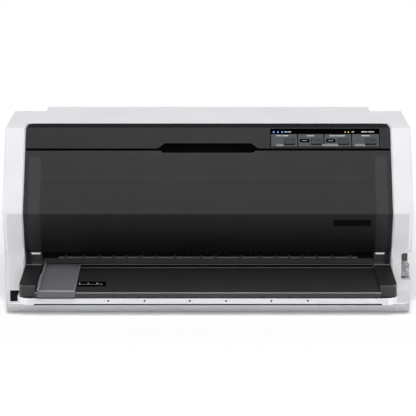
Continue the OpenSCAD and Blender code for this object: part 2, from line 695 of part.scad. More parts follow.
// ---- carriage --------------------------------------------------------------------------
carriage_front = -19;
fin_y = 14;
belt_y = 36;
pulley_r = 8;
front_run = belt_y - pulley_r;
belt_z = 98;
belt_w = 6;
belt_t = 1.2;
pulley_x = frame_in - 21.4;
carriage_x = -pulley_x + 66;
motor_plate_z = 107.4;
module carriage_rod() {
    color("#c4c7ca") bar_x(-frame_out, frame_out, rod_c, rod_r);
}
module head_rail() {
    color("#a4a7ab") along_x(-frame_in + fit, frame_in - fit)
        polygon([[54, 96.2], [64.4, 96.2], [64.4, 84], [66, 84], [66, 97.8], [54, 97.8]]);
}
module print_carriage() {
    color("#242426") difference() {
        union() {
            translate([carriage_x, 0, 0]) along_x(-32, 32)
                polygon(rounded([[carriage_front, 79], [12, 79], [24, 74.4], [44, 74.4], [48, 82],
                                 [48, 92], [carriage_front, 92]], [2, 0, 0, 0, 3, 1, 2]));
            block([carriage_x - 14, 46, 88], [carriage_x + 14, 63, 95.7]);
            // clamp on the front run of the belt
            block([carriage_x - 8, front_run - 4.4, 90], [carriage_x + 8, front_run - belt_t - play, 106]);
            block([carriage_x - 8, front_run + play, 90], [carriage_x + 8, front_run + 3.4, 106]);
        }
        bar_x(carriage_x - 40, carriage_x + 40, rod_c, rod_r + pin_play);
        block([carriage_x - 16.2, -13.2, 70], [carriage_x + 16.2, 13.2, 100]);
    }
}
module print_head() {
    color("#7d8084") translate([carriage_x, 0, 0]) {
        block([-16, -13, 62], [16, 13, 96]);
        block([-5, -4, paper_z + 1.6], [5, 4, 62]);
        block([-19, -16, 92.1], [19, 16, 94]);
        for (i = [0:4]) block([-17, -fin_y, 96 + 3.4 * i], [17, fin_y, 97.6 + 3.4 * i]);
        translate([0, 0, 96]) cylinder(r = 8, h = 16);
    }
}
module belt_brackets() {
    color("#a4a7ab") both_sides() difference() {
        union() {
            block([pulley_x - 22, fin_y + 1.4, motor_plate_z], [frame_in, 57, motor_plate_z + plate_t]);
            block([frame_in - plate_t, fin_y + 1.4, motor_plate_z], [frame_in, 57, 118]);
        }
        translate([pulley_x, belt_y, motor_plate_z - 1]) cylinder(r = 4, h = 5);
    }
}
module carriage_motor() {
    color("#55585c") translate([-pulley_x, belt_y, motor_plate_z + plate_t]) difference() {
        union() {
            cylinder(r = 19, h = 30);
            translate([0, 0, 30]) cylinder(r = 8, h = 3);
        }
        translate([0, 0, -1]) cylinder(r = 2.5 + pin_play, h = 15);
    }
}
module pulley() {
    translate([0, 0, belt_z - 1.6]) cylinder(r = pulley_r + 1.6, h = 1.2);
    translate([0, 0, belt_z + belt_w + 0.4]) cylinder(r = pulley_r + 1.6, h = 1.2);
    difference() {
        translate([0, 0, belt_z - 1.6]) cylinder(r = pulley_r - 0.3, h = belt_w + 3.2);
        for (i = [0:15]) rotate([0, 0, i * 22.5]) translate([pulley_r, 0, belt_z - 0.4])
            cylinder(r = 0.8, h = belt_w + 0.8);
    }
}
module drive_pulley() {
    color("#b9bbbd") translate([-pulley_x, belt_y, 0]) {
        pulley();
        translate([0, 0, belt_z]) cylinder(r = 2.5, h = motor_plate_z + plate_t + 12 - belt_z);
    }
}
module idler_pulley() {
    color("#b9bbbd") translate([pulley_x, belt_y, 0]) {
        pulley();
        translate([0, 0, belt_z]) cylinder(r = 4 - pin_play, h = motor_plate_z + plate_t + 1 - belt_z);
        translate([0, 0, motor_plate_z + plate_t + 0.3]) cylinder(r = 5.5, h = 1.4);
    }
}
module timing_belt() {
    color("#1a1a1b") difference() {
        union() {
            block([-pulley_x, front_run - belt_t, belt_z],
                  [pulley_x, belt_y + pulley_r + belt_t, belt_z + belt_w]);
            for (s = [-1, 1]) translate([s * pulley_x, belt_y, belt_z])
                cylinder(r = pulley_r + belt_t, h = belt_w);
        }
        block([-pulley_x, front_run, belt_z - 1], [pulley_x, belt_y + pulley_r, belt_z + belt_w + 1]);
        for (s = [-1, 1]) translate([s * pulley_x, belt_y, belt_z - 1])
            cylinder(r = pulley_r, h = belt_w + 2);
    }
}
cart_y = [-66, -24];
cart_z = [84, 106];
cart_x = frame_in - 21.4;
knob_c = [-cart_x + 36, -46];
module ribbon_cartridge() {
    color("#1f1f21") difference() {
        union() {
            along_x(-cart_x, cart_x)
                polygon(rounded([[cart_y[0], cart_z[0]], [cart_y[1], cart_z[0]], [cart_y[1], cart_z[1]],
                                 [cart_y[0], cart_z[1]]], [4, 2, 2, 6]));
            // arms that lead the ribbon under the print head, clear of the carriage
            both_sides() along_x(cart_x - 10, cart_x)
                polygon([[cart_y[1] - 4, 54], [8, 54], [8, 62], [-12, 62], [carriage_front - 1.4, 70],
                         [carriage_front - 1.4, 90], [cart_y[1] - 4, 90]]);
            // end tabs that sit on the side frames
            both_sides() block([cart_x - 4, -58, 92], [frame_in - 0.3, -40, 98]);
            // raised label panel
            block([-100, -60, cart_z[1] - 1], [60, -30, cart_z[1] + 0.6]);
        }
        translate([knob_c[0], knob_c[1], cart_z[1] - 12]) cylinder(r = 3 + pin_play, h = 20);
    }
}
module ribbon_knob() {
    color("#2c5d9c") translate([knob_c[0], knob_c[1], 0]) {
        difference() {
            translate([0, 0, cart_z[1] + play]) cylinder(r = 9, h = 8);
            for (i = [0:11]) rotate([0, 0, i * 30]) translate([10, 0, cart_z[1]]) cylinder(r = 2, h = 12);
        }
        translate([0, 0, cart_z[1] - 10]) cylinder(r = 3, h = 14);
    }
}
module ink_ribbon() {
    ribbon_x = cart_x - 10.05;
    color("#101011") block([-ribbon_x, -6.5, paper_z + 0.7], [ribbon_x, 6.5, paper_z + 0.9]);
    color("#101011") both_sides() block([cart_x - 16, -6.5, paper_z + 0.9], [ribbon_x, 6.5, paper_z + 8]);
}

// ---- rollers and gears -----------------------------------------------------------------
roller_x = frame_in - 17.4;
gear_x = -frame_out - 1.2 - gear_w;
// The rest angle of a gear b that meshes with gear a, whose tooth angle is a_rot, along angle dir
function meshed(a_rot, a_teeth, b_teeth, dir) =
    dir + 180 - (0.5 - (dir - a_rot) * a_teeth / 360) * 360 / b_teeth;
module spur(teeth, rot, bore) {
    r = pitch_r(teeth);
    root = r - 1.2 * gear_m;
    tip = r + 0.75 * gear_m;
    step = 360 / teeth;
    difference() {
        linear_extrude(gear_w) rotate([0, 0, rot])
            polygon([for (i = [0:teeth - 1], k = [[-0.33, root], [-0.21, r], [-0.1, tip], [0.1, tip],
                                                  [0.21, r], [0.33, root]])
                k[1] * [cos((i + k[0]) * step), sin((i + k[0]) * step)]]);
        translate([0, 0, -1]) cylinder(r = bore, h = gear_w + 2);
    }
}
// A gear in the train on the left frame: turned so that its outline lies in the YZ plane
module train_gear(c, teeth, rot, bore) {
    translate([gear_x, c[0], c[1]]) rotate([90, 0, 90]) spur(teeth, rot, bore);
}
front_a = 180 - feed_a;
rear_a = feed_a;
front_idler_rot = meshed(0, platen_teeth, idler_teeth, front_a);
rear_idler_rot = meshed(0, platen_teeth, idler_teeth, rear_a);

module platen_roller() {
    color("#1c1c1d") difference() {
        bar_x(-roller_x, roller_x, platen_c, platen_r);
        bar_x(-roller_x - 1, roller_x + 1, platen_c, platen_shaft_r);
    }
}
module platen_shaft() {
    color("#b9bbbd") bar_x(gear_x, frame_out + 1.6, platen_c, platen_shaft_r);
}
module platen_gear() {
    color("#e8e6dc") train_gear(platen_c, platen_teeth, 0, platen_shaft_r);
}
module feed_roller(c) {
    tyre_w = 30;
    color("#b9bbbd") bar_x(gear_x, frame_out + 1.6, c, feed_shaft_r);
    color("#1c1c1d") for (i = [0:tyre_count - 1]) {
        x = -roller_x + 20 + i * (2 * roller_x - 40 - tyre_w) / (tyre_count - 1);
        difference() {
            bar_x(x, x + tyre_w, c, feed_r);
            bar_x(x - 1, x + tyre_w + 1, c, feed_shaft_r - 0.5);
        }
    }
}
module front_feed_roller() { feed_roller(front_feed_c); }
module rear_feed_roller() { feed_roller(rear_feed_c); }
module front_feed_gear() {
    color("#e8e6dc") train_gear(front_feed_c, feed_teeth,
        meshed(front_idler_rot, idler_teeth, feed_teeth, front_a), feed_shaft_r);
}
module rear_feed_gear() {
    color("#e8e6dc") train_gear(rear_feed_c, feed_teeth,
        meshed(rear_idler_rot, idler_teeth, feed_teeth, rear_a), feed_shaft_r);
}
module pinch_rollers(c) {
    color("#44474a") {
        bar_x(-frame_out - 0.4, frame_out + 0.4, c, 2.5);
        for (i = [0:tyre_count - 1])
            bar_x(-roller_x + 24 + i * (2 * roller_x - 70) / (tyre_count - 1),
                  -roller_x + 46 + i * (2 * roller_x - 70) / (tyre_count - 1), c, pinch_r);
    }
}
module front_pinch_rollers() { pinch_rollers(front_pinch_c); }
module rear_pinch_rollers() { pinch_rollers(rear_pinch_c); }
module idler_gear_front() {
    color("#e8e6dc") train_gear(front_idler_c, idler_teeth, front_idler_rot, 3 + pin_play);
}
module idler_gear_rear() {
    color("#e8e6dc") train_gear(rear_idler_c, idler_teeth, rear_idler_rot, 3 + pin_play);
}
module gear_pins() {
    color("#b9bbbd") for (c = [front_idler_c, rear_idler_c]) {
        bar_x(gear_x - 0.4, -frame_in, c, 3);
        bar_x(-frame_out - 0.9, -frame_out, c, 4.4);
    }
}
module motor_pinion() {
    color("#c9a24a") {
        train_gear(pinion_c, pinion_teeth, meshed(rear_idler_rot, idler_teeth, pinion_teeth, -90), 2.5);
        bar_x(gear_x, -frame_in + 10, pinion_c, 2.5);
    }
}
feed_motor_r = 14.2;
module feed_motor() {
    color("#55585c") difference() {
        union() {
            bar_x(-frame_in, -frame_in + 36, pinion_c, feed_motor_r);
            bar_x(-frame_in + 36, -frame_in + 39, pinion_c, 6);
        }
        bar_x(-frame_in - 1, -frame_in + 14, pinion_c, 2.5 + pin_play);
    }
}

// ---- tractors --------------------------------------------------------------------------
tractor_x = frame_in - 57.4;
module tractor_shaft() {
    color("#b9bbbd") {
        bar_x(-frame_out - 1.6, -frame_in + 8, tractor_c, 4);
        bar_x(frame_in - 8, frame_out + 1.6, tractor_c, 4);
        translate([-frame_in + 8, tractor_c[0], tractor_c[1]]) rotate([0, 90, 0])
            cylinder(r = 4.6, h = 2 * frame_in - 16, $fn = 6);
    }
}
module tractor_rod() {
    color("#c4c7ca") bar_x(-frame_out, frame_out, tractor_rod_c, 4);
}
module tractor(x) {
    translate([x, tractor_c[0], 0]) {
        color("#2a2a2c") difference() {
            along_x(-12, 12)
                polygon(rounded([[-32, 72], [-4, 72], [12, 78], [12, 94], [-32, 94]], [4, 4, 6, 2, 2]));
            bar_x(-20, 20, [0, tractor_c[1]], 4.6 + 0.08);
            bar_x(-20, 20, tractor_rod_c - [tractor_c[0], 0], 4 + pin_play);
            block([-3, -27, 91], [3, 8, 95]);
            // hinge recess for the lid
            translate([9, -40, 94]) rotate([-90, 0, 0]) cylinder(r = 2.8, h = 60);
        }
        color("#2a2a2c") difference() {
            for (y = [-32, 9]) block([6.6, y, 90], [11.8, y + 3, 97]);
            translate([9, -40, 94.6]) rotate([-90, 0, 0]) cylinder(r = 1.2 + pin_play, h = 60);
        }
        color("#1a1a1b") for (i = [0:4]) translate([0, -24 + i * 7, 91]) cylinder(r = 1.8, h = 4.4);
        color("#1a1a1b") block([-2.9, -26.8, 90.9], [2.9, 7.8, 93]);
    }
}
module tractor_lid(x) {
    color("#3a3a3d") translate([x, tractor_c[0], 0]) difference() {
        union() {
            block([-12, -28.4, 95.6], [8.6, 8.4, 98]);
            translate([9, -28.4, 94.6]) rotate([-90, 0, 0]) cylinder(r = 2.2, h = 36.8);
            translate([9, -31.6, 94.6]) rotate([-90, 0, 0]) cylinder(r = 1.2, h = 43.2);
        }
        block([-3, -27, 94], [3, 6, 99]);
    }
}
module tractor_left() { tractor(-tractor_x); }
module tractor_right() { mirror([1, 0, 0]) tractor(-tractor_x); }
module tractor_lid_left() { tractor_lid(-tractor_x); }
module tractor_lid_right() { mirror([1, 0, 0]) tractor_lid(-tractor_x); }

module rear_guide() {
    color("#2e2e2f") along_x(-frame_in + fit, frame_in - fit)
        polygon([[62, 48], [76, 50], [92, 62], [112, 68.4], [back_y - 39, 69.6],
                 [back_y - wall - 0.6, 92], [back_y - wall - 0.6, 94], [back_y - 40, 71.4],
                 [111, 70.4], [90.6, 64], [75, 52], [62, 50]]);
}

module rear_cover() {
    edge_x = hatch_x - play;
    color("#dcdde1") difference() {
        union() {
            difference() {
                along_x(-edge_x, edge_x) polygon(rounded(hump_outline(0), hump_radii));
                along_x(-edge_x - 1, edge_x + 1)
                    polygon(rounded(drawn_in(hump_outline(40), wall), [0, 0, 4, 27, 27, 9, 0, 0]));
                block([-side_x, -50, 0], [side_x, hatch_y + play, case_h + 5]);
                block([-side_x, 0, 0], [side_x, back_y + 5, lug_c[1] - 5]);
            }
            both_sides() {
                along_x(edge_x - 2.4, edge_x)
                    polygon([lug_c + [-lug_r, 0], lug_c + [-3, -4], lug_c + [3, -4], lug_c + [4.4, 0],
                             lug_c + [0.4, 20], lug_c + [-4, 20]]);
                bar_x(edge_x - 1, hatch_x + 2.4, lug_c, lug_pin_r);
            }
        }
        block([-side_x, back_y - 0.6, hatch_z], [side_x, back_y + 10, case_h - 10]);
    }
}

// ---- electronics and connectors --------------------------------------------------------
board_x = [-frame_in + 147.4, frame_in - 17.4];
module main_board() {
    color("#2c5a3a") block([board_x[0], 84, 12], [board_x[1], back_y - 27, 13.6]);
    color("#1d1d1f") {
        block([0, 100, 13.6], [30, 130, 16]);
        block([60, 96, 13.6], [84, 112, 16]);
        block([100, 120, 13.6], [150, 134, 19]);
    }
    color("#b9bbbd") for (x = [board_x[0] + 6, board_x[1] - 6], y = [90, back_y - 33])
        translate([x, y, plate_bottom + plate_t])
        cylinder(r = 3, h = 12 - plate_bottom - plate_t);
}
supply_x = [-frame_in + 11.4, -frame_in + 131.4];
module power_supply() {
    color("#a4a7ab") difference() {
        block([supply_x[0], 90, plate_bottom + plate_t], [supply_x[1], back_y - 29, 58]);
        for (i = [0:8])
            block([supply_x[0] + 10 + 12 * i, 97, 57], [supply_x[0] + 14 + 12 * i, back_y - 37, 60]);
    }
}
module power_inlet() {
    color("#161617") difference() {
        union() {
            block(inlet_lo - [0, 22, 0], inlet_hi - [0, 0.2, 0]);
            block(inlet_lo - [2, wall + 2.2, 2], inlet_hi + [2, -wall - 0.2, 2]);
        }
        block(inlet_c - [12, 16, 8], inlet_c + [12, 1, 8]);
    }
    color("#c4c7ca") for (p = [[-7, 0, -2], [7, 0, -2], [0, 0, 3]])
        block(inlet_c + p - [1, 17, 2], inlet_c + p + [1, -5, 2]);
}
socket_y = [-84, -22];
socket_board_x = ins_x + wall + 0.6;
socket_x = socket_board_x + 1.6;
module connector_holes() {
    block([bay_lo[0] - wall - 1, socket_y[0] - fit, 27 - fit],
          [bay_lo[0] + 1, socket_y[1] + fit, 41 + fit]);
    block([bay_lo[0] - wall - 1, -84 - fit, 45 - fit], [bay_lo[0] + 1, -70 + fit, 54 + fit]);
}
module connectors() {
    color("#9a9ca0") difference() {
        block([socket_x, socket_y[0], 27], [side_x - 1.6, socket_y[1], 41]);
        block([side_x - 9, socket_y[0] + 1.4, 28.4], [side_x, socket_y[1] - 1.4, 39.6]);
    }
    color("#2b2f2c") block([side_x - 9.5, socket_y[0] + 4, 32.4], [side_x - 2.4, socket_y[1] - 4, 35.6]);
    color("#9a9ca0") difference() {
        block([socket_x, -84, 45], [side_x - 4, -70, 54]);
        block([side_x - 12, -82.6, 46.4], [side_x, -71.4, 52.6]);
    }
    color("#2c5a3a") block([socket_board_x, -88, 22], [socket_x, -16, 58]);
}

lower_case();
upper_case();
panel_bezel();
panel_label();
status_lamps();
front_cover();
cover_brackets();
front_table();
paper_guide();
edge_guide();
panel_key(0);  // key_1
panel_key(1);  // key_2
panel_key(2);  // key_3
panel_key(3);  // key_4
switch_housing();
power_rocker();
chassis_plate();
side_frame_left();
side_frame_right();
carriage_rod();
head_rail();
print_carriage();
print_head();
ribbon_cartridge();
ribbon_knob();
ink_ribbon();
belt_brackets();
carriage_motor();
drive_pulley();
idler_pulley();
timing_belt();
platen_roller();
platen_shaft();
platen_gear();
front_feed_roller();
front_feed_gear();
rear_feed_roller();
rear_feed_gear();
front_pinch_rollers();
rear_pinch_rollers();
idler_gear_front();
idler_gear_rear();
gear_pins();
feed_motor();
motor_pinion();
tractor_shaft();
tractor_rod();
tractor_left();
tractor_right();
tractor_lid_left();
tractor_lid_right();
rear_guide();
rear_cover();
main_board();
panel_board();
power_supply();
power_inlet();
connectors();
rubber_feet();
case_screws();
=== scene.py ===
"""A dressed flatbed dot matrix printer: finishes, moulded edges, printed marks, stage and camera."""

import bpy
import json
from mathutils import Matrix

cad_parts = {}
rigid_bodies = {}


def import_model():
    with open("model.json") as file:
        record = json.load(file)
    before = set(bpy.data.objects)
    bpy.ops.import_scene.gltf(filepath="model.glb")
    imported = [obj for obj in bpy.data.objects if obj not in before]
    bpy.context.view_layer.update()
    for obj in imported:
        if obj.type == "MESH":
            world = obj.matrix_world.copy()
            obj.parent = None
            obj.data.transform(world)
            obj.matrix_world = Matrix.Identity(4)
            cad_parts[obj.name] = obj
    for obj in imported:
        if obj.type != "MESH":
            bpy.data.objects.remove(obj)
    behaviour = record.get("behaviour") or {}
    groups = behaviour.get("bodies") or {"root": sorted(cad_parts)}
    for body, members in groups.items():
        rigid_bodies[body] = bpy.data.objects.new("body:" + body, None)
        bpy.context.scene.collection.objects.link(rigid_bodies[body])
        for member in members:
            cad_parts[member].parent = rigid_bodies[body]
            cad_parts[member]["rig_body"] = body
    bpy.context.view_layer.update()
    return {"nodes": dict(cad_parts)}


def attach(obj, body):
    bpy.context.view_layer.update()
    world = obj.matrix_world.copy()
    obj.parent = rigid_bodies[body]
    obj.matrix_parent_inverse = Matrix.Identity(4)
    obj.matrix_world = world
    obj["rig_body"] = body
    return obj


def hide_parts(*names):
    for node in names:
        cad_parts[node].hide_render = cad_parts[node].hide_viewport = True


bl_info = {
    "name": "Dot Matrix Printer",
    "version": (1, 0, 0),
    "blender": (4, 5, 0),
    "location": "3D View > Sidebar > Printer",
    "description": "Dresses the packed printer with mould-finished cases, printed marks and a studio",
    "category": "Object",
}

import json
import math
from contextlib import contextmanager

import bmesh
import bpy
import numpy as np
from mathutils import Matrix, Vector

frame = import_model()
MM = 0.001


# ---- colours and nodes ----
def linear(colour):
    """An sRGB hex colour as linear RGBA."""
    parts = [int(colour[i : i + 2], 16) / 255 for i in (1, 3, 5)]
    return tuple(c / 12.92 if c <= 0.04045 else ((c + 0.055) / 1.055) ** 2.4 for c in parts) + (1.0,)


def join(tree, node, settings=None, **links):
    """Sets a node's properties or its sockets' values and links its inputs. A node given as a link
    stands for its first output in use."""
    for name, value in (settings or {}).items():
        if hasattr(node, name):
            setattr(node, name, value)
        else:
            node.inputs[int(name) if name.isdigit() else name].default_value = value
    for name, output in links.items():
        if isinstance(output, bpy.types.Node):
            output = next(socket for socket in output.outputs if socket.enabled)
        key = name.strip("_")
        tree.links.new(output, node.inputs[int(key) if key.isdigit() else key.replace("_", " ")])
    return node


def add(tree, kind, settings=None, **links):
    """A new node with its settings and links."""
    return join(tree, tree.nodes.new(kind), settings, **links)


def ramp(tree, fac, stops):
    """A colour ramp through (position, hex) stops."""
    node = add(tree, "ShaderNodeValToRGB", Fac=fac)
    elements = node.color_ramp.elements
    while len(elements) < len(stops):
        elements.new(0.5)
    for element, (position, colour) in zip(elements, stops):
        element.position = position
        element.color = linear(colour)
    return node


def new_material(name):
    """An empty node material with its output node, Principled shader and object coordinates."""
    material = bpy.data.materials.new(name)
    material.use_nodes = True
    tree = material.node_tree
    tree.nodes.clear()
    shader = add(tree, "ShaderNodeBsdfPrincipled")
    add(tree, "ShaderNodeOutputMaterial", Surface=shader)
    spot = add(tree, "ShaderNodeTexCoord").outputs["Object"]
    return material, tree, shader, spot


def per_metre(size_mm):
    """A noise texture's scale for features of that size in millimetres."""
    return 1000.0 / size_mm


def within(tree, value, low, high, soft):
    """1 between low and high, in metres, with soft ends."""
    rise = add(tree, "ShaderNodeMapRange", {"From Min": low - soft, "From Max": low}, Value=value)
    fall = add(tree, "ShaderNodeMapRange", {"From Min": high + soft, "From Max": high}, Value=value)
    return add(tree, "ShaderNodeMath", {"operation": "MULTIPLY"}, _0=rise, _1=fall)


def moulded(name, colour, deep, rough, grain=1.6, depth=0.03, wear_and_highlight=None, level=0.5, line=None, painted_glow=0.0):
    """Injection-moulded plastic from a spark-eroded mould: an even fine grain that breaks up the gloss, a
    slow drift of tone across the wall, and paler edges, partly polished a little by hands and partly a
    painted highlight. A line is another tone where Y and Z in millimetres lie between its bounds, painted
    as a highlight line or a shadow line. A painted glow brightens a part in the shade."""
    material, tree, shader, spot = new_material(name)
    drift = add(tree, "ShaderNodeTexNoise", {"Scale": per_metre(60.0), "Detail": 3.0}, Vector=spot)
    grit = add(tree, "ShaderNodeTexNoise", {"Scale": per_metre(grain), "Detail": 4.0}, Vector=spot)
    tone = ramp(tree, drift, [(0.35, deep), (0.65, colour)])
    speck = add(tree, "ShaderNodeMapRange", {"To Min": 0.94, "To Max": 1.04}, Value=grit)
    body = add(tree, "ShaderNodeMix", {"data_type": "RGBA", "blend_type": "MULTIPLY", "0": 1.0}, _6=tone,
               _7=speck)
    if wear_and_highlight:
        # the broken edges turn paler: partly wear, partly a painted highlight
        soft = add(tree, "ShaderNodeBevel", {"samples": 4, "Radius": 0.7 * MM})
        flat = add(tree, "ShaderNodeNewGeometry")
        edge = add(tree, "ShaderNodeVectorMath", {"operation": "DOT_PRODUCT"}, _0=soft,
                   _1=flat.outputs["Normal"])
        worn_and_lit = add(tree, "ShaderNodeMapRange", {"From Min": 0.99, "From Max": 0.80}, Value=edge)
        faded = add(tree, "ShaderNodeMath", {"operation": "MULTIPLY", "1": 0.5}, _0=worn_and_lit)
        body = add(tree, "ShaderNodeMix", {"data_type": "RGBA", "7": linear(wear_and_highlight)}, _0=faded, _6=body)
    # each line used in this script is painted light: a painted highlight line or a painted shadow line
    if line:
        tint, y0, y1, z0, z1 = line
        place = add(tree, "ShaderNodeSeparateXYZ", Vector=spot)
        there = add(tree, "ShaderNodeMath", {"operation": "MULTIPLY"},
                    _0=within(tree, place.outputs["Y"], y0 * MM, y1 * MM, 0.3 * MM),
                    _1=within(tree, place.outputs["Z"], z0 * MM, z1 * MM, 0.3 * MM))
        body = add(tree, "ShaderNodeMix", {"data_type": "RGBA", "7": linear(tint)}, _0=there, _6=body)
    matt = add(tree, "ShaderNodeMapRange", {"To Min": rough - 0.05, "To Max": rough + 0.06}, Value=grit)
    bump = add(tree, "ShaderNodeBump", {"Strength": 0.35, "Distance": depth * MM}, Height=grit)
    # the emission is a painted glow; the part is no lamp
    join(tree, shader, {
        "Specular IOR Level": level, "Emission Color": linear(colour), "Emission Strength": painted_glow},
        Base_Color=body, Roughness=matt, Normal=bump)
    return material


def drawn_metal(name, colour, deep, rough, line=0.25, along=(1.0, 0.02, 1.0)):
    """Rolled, drawn or ground metal: fine lines along the working direction under an even sheen."""
    material, tree, shader, spot = new_material(name)
    stretch = add(tree, "ShaderNodeMapping", {"Scale": along}, Vector=spot)
    lines = add(tree, "ShaderNodeTexNoise", {"Scale": per_metre(line), "Detail": 2.0}, Vector=stretch)
    cloud = add(tree, "ShaderNodeTexNoise", {"Scale": per_metre(18.0), "Detail": 4.0}, Vector=spot)
    both = add(tree, "ShaderNodeMath", {"operation": "MULTIPLY_ADD", "1": 0.5}, _0=lines, _2=cloud)
    tone = ramp(tree, both, [(0.55, deep), (0.95, colour)])
    matt = add(tree, "ShaderNodeMapRange", {"To Min": rough - 0.08, "To Max": rough + 0.1}, Value=lines)
    bump = add(tree, "ShaderNodeBump", {"Strength": 0.25, "Distance": 0.01 * MM}, Height=lines)
    join(tree, shader, {"Metallic": 1.0}, Base_Color=tone, Roughness=matt, Normal=bump)
    return material


# ---- the finishes ----
def smoked_cover_finish(name, rough, level):
    """Smoked polycarbonate, nearly black, with a soft mirror of the studio: polished above the knee and
    satin below it. Paler bands are painted at both ends where the steel flanges behind it would show
    through, a fainter painted line runs where the edge of the head's rail would show, and a band of
    painted sheen lies across the lower face."""
    material, tree, shader, spot = new_material(name)
    place = add(tree, "ShaderNodeSeparateXYZ", Vector=spot)
    side = add(tree, "ShaderNodeMath", {"operation": "ABSOLUTE"}, _0=place.outputs["X"])
    # painted show-through: paler bands at both ends and a faint line across, as if seen through the cover
    band = within(tree, side, 0.1975, 0.2095, 0.002)
    reach = within(tree, place.outputs["Z"], 0.060, 0.166, 0.004)
    painted_flange_bands = add(tree, "ShaderNodeMath", {"operation": "MULTIPLY"}, _0=band, _1=reach)
    rail = within(tree, place.outputs["Z"], 0.1454, 0.1468, 0.0008)
    faint = add(tree, "ShaderNodeMath", {"operation": "MULTIPLY", "1": 0.35}, _0=rail)
    shown = add(tree, "ShaderNodeMath", {"operation": "MAXIMUM"}, _0=painted_flange_bands, _1=faint)
    haze = add(tree, "ShaderNodeTexNoise", {"Scale": per_metre(90.0), "Detail": 2.0}, Vector=spot)
    tone = ramp(tree, haze, [(0.3, "#060607"), (0.7, "#09090a")])
    # a band of painted sheen across the lower face
    sheen_band = within(tree, place.outputs["Z"], 0.080, 0.090, 0.016)
    dust_and_sheen = add(tree, "ShaderNodeMix", {"data_type": "RGBA", "7": linear("#131314")}, _0=sheen_band, _6=tone)
    lit = add(tree, "ShaderNodeMix", {"data_type": "RGBA", "7": linear("#242426")}, _0=shown, _6=dust_and_sheen)
    smear = add(tree, "ShaderNodeTexNoise", {"Scale": per_metre(25.0), "Detail": 5.0}, Vector=spot)
    gloss = add(tree, "ShaderNodeMapRange", {"To Min": rough - 0.05, "To Max": rough + 0.05}, Value=smear)
    join(tree, shader, {"Specular IOR Level": level}, Base_Color=lit, Roughness=gloss)
    return material


def rubber_finish():
    """Ground nitrile rubber: dull black with the grinding wheel's fine haze and a little paper dust."""
    material, tree, shader, spot = new_material("ground_rubber")
    fine = add(tree, "ShaderNodeTexNoise", {"Scale": per_metre(0.8), "Detail": 5.0}, Vector=spot)
    dust_and_sheen = add(tree, "ShaderNodeTexNoise", {"Scale": per_metre(14.0), "Detail": 3.0}, Vector=spot)
    tone = ramp(tree, dust_and_sheen, [(0.4, "#1b1b1c"), (0.75, "#2c2b2a")])
    bump = add(tree, "ShaderNodeBump", {"Strength": 0.5, "Distance": 0.04 * MM}, Height=fine)
    join(tree, shader, {"Roughness": 0.82}, Base_Color=tone, Normal=bump)
    return material


def board_finish():
    """Glass-epoxy circuit board: green solder mask over copper tracks, which show as paler lines
    in a square net, with bare pads here and there."""
    material, tree, shader, spot = new_material("solder_mask_board")
    tracks = add(tree, "ShaderNodeTexBrick", {
        "Scale": per_metre(6.0), "Mortar Size": 0.05, "offset": 0.5, "Color1": linear("#1f4a2e"),
        "Color2": linear("#24543a"), "Mortar": linear("#3c7a4c")}, Vector=spot)
    pads = add(tree, "ShaderNodeTexVoronoi", {"Scale": per_metre(5.0)}, Vector=spot)
    bare = add(tree, "ShaderNodeMapRange", {"From Min": 0.16, "From Max": 0.13}, Value=pads)
    shown = add(tree, "ShaderNodeMix", {"data_type": "RGBA", "7": linear("#b9a36a")}, _0=bare, _6=tracks)
    bump = add(tree, "ShaderNodeBump", {"Strength": 0.3, "Distance": 0.05 * MM},
               Height=tracks.outputs["Fac"])
    join(tree, shader, {"Roughness": 0.35}, Base_Color=shown, Metallic=bare, Normal=bump)
    return material


def ribbon_finish():
    """Inked nylon ribbon: a fine plain weave, nearly black, with a wet-ink sheen. The threads are
    drawn 0.8 mm apart, about four times as coarse as real ones, so that they show."""
    material, tree, shader, spot = new_material("inked_nylon_ribbon")
    scale = per_metre(0.8) / 6.28  # a wave texture's bands repeat every full turn
    warp, weft = (add(tree, "ShaderNodeTexWave", {"bands_direction": axis, "Scale": scale},
                      Vector=spot) for axis in "XY")
    weave = add(tree, "ShaderNodeMath", {"operation": "MULTIPLY"}, _0=warp.outputs["Fac"],
                _1=weft.outputs["Fac"])
    tone = ramp(tree, weave, [(0.1, "#0c0c10"), (0.9, "#23232c")])
    bump = add(tree, "ShaderNodeBump", {"Strength": 0.6, "Distance": 0.1 * MM}, Height=weave)
    join(tree, shader, {"Roughness": 0.5, "Sheen Weight": 0.3}, Base_Color=tone, Normal=bump)
    return material


def lamp_finish():
    """Lit indicators behind clear lenses: a bright core in a tinted rim. The three on the left are
    blue and the two on the right amber."""
    material, tree, shader, spot = new_material("indicator_lenses")
    place = add(tree, "ShaderNodeSeparateXYZ", Vector=spot)
    right = add(tree, "ShaderNodeMath", {"operation": "GREATER_THAN", "1": 0.12}, _0=place.outputs["X"])
    grit = add(tree, "ShaderNodeTexNoise", {"Scale": per_metre(0.7), "Detail": 1.0}, Vector=spot)
    blue = ramp(tree, grit, [(0.3, "#2a78d8"), (0.7, "#8cc6ff")])
    amber = ramp(tree, grit, [(0.3, "#8e7a34"), (0.7, "#c0b46e")])
    tone = add(tree, "ShaderNodeMix", {"data_type": "RGBA"}, _0=right, _6=blue, _7=amber)
    join(tree, shader, {"Emission Strength": 0.75, "Roughness": 0.2}, Base_Color=tone,
         Emission_Color=tone)
    return material


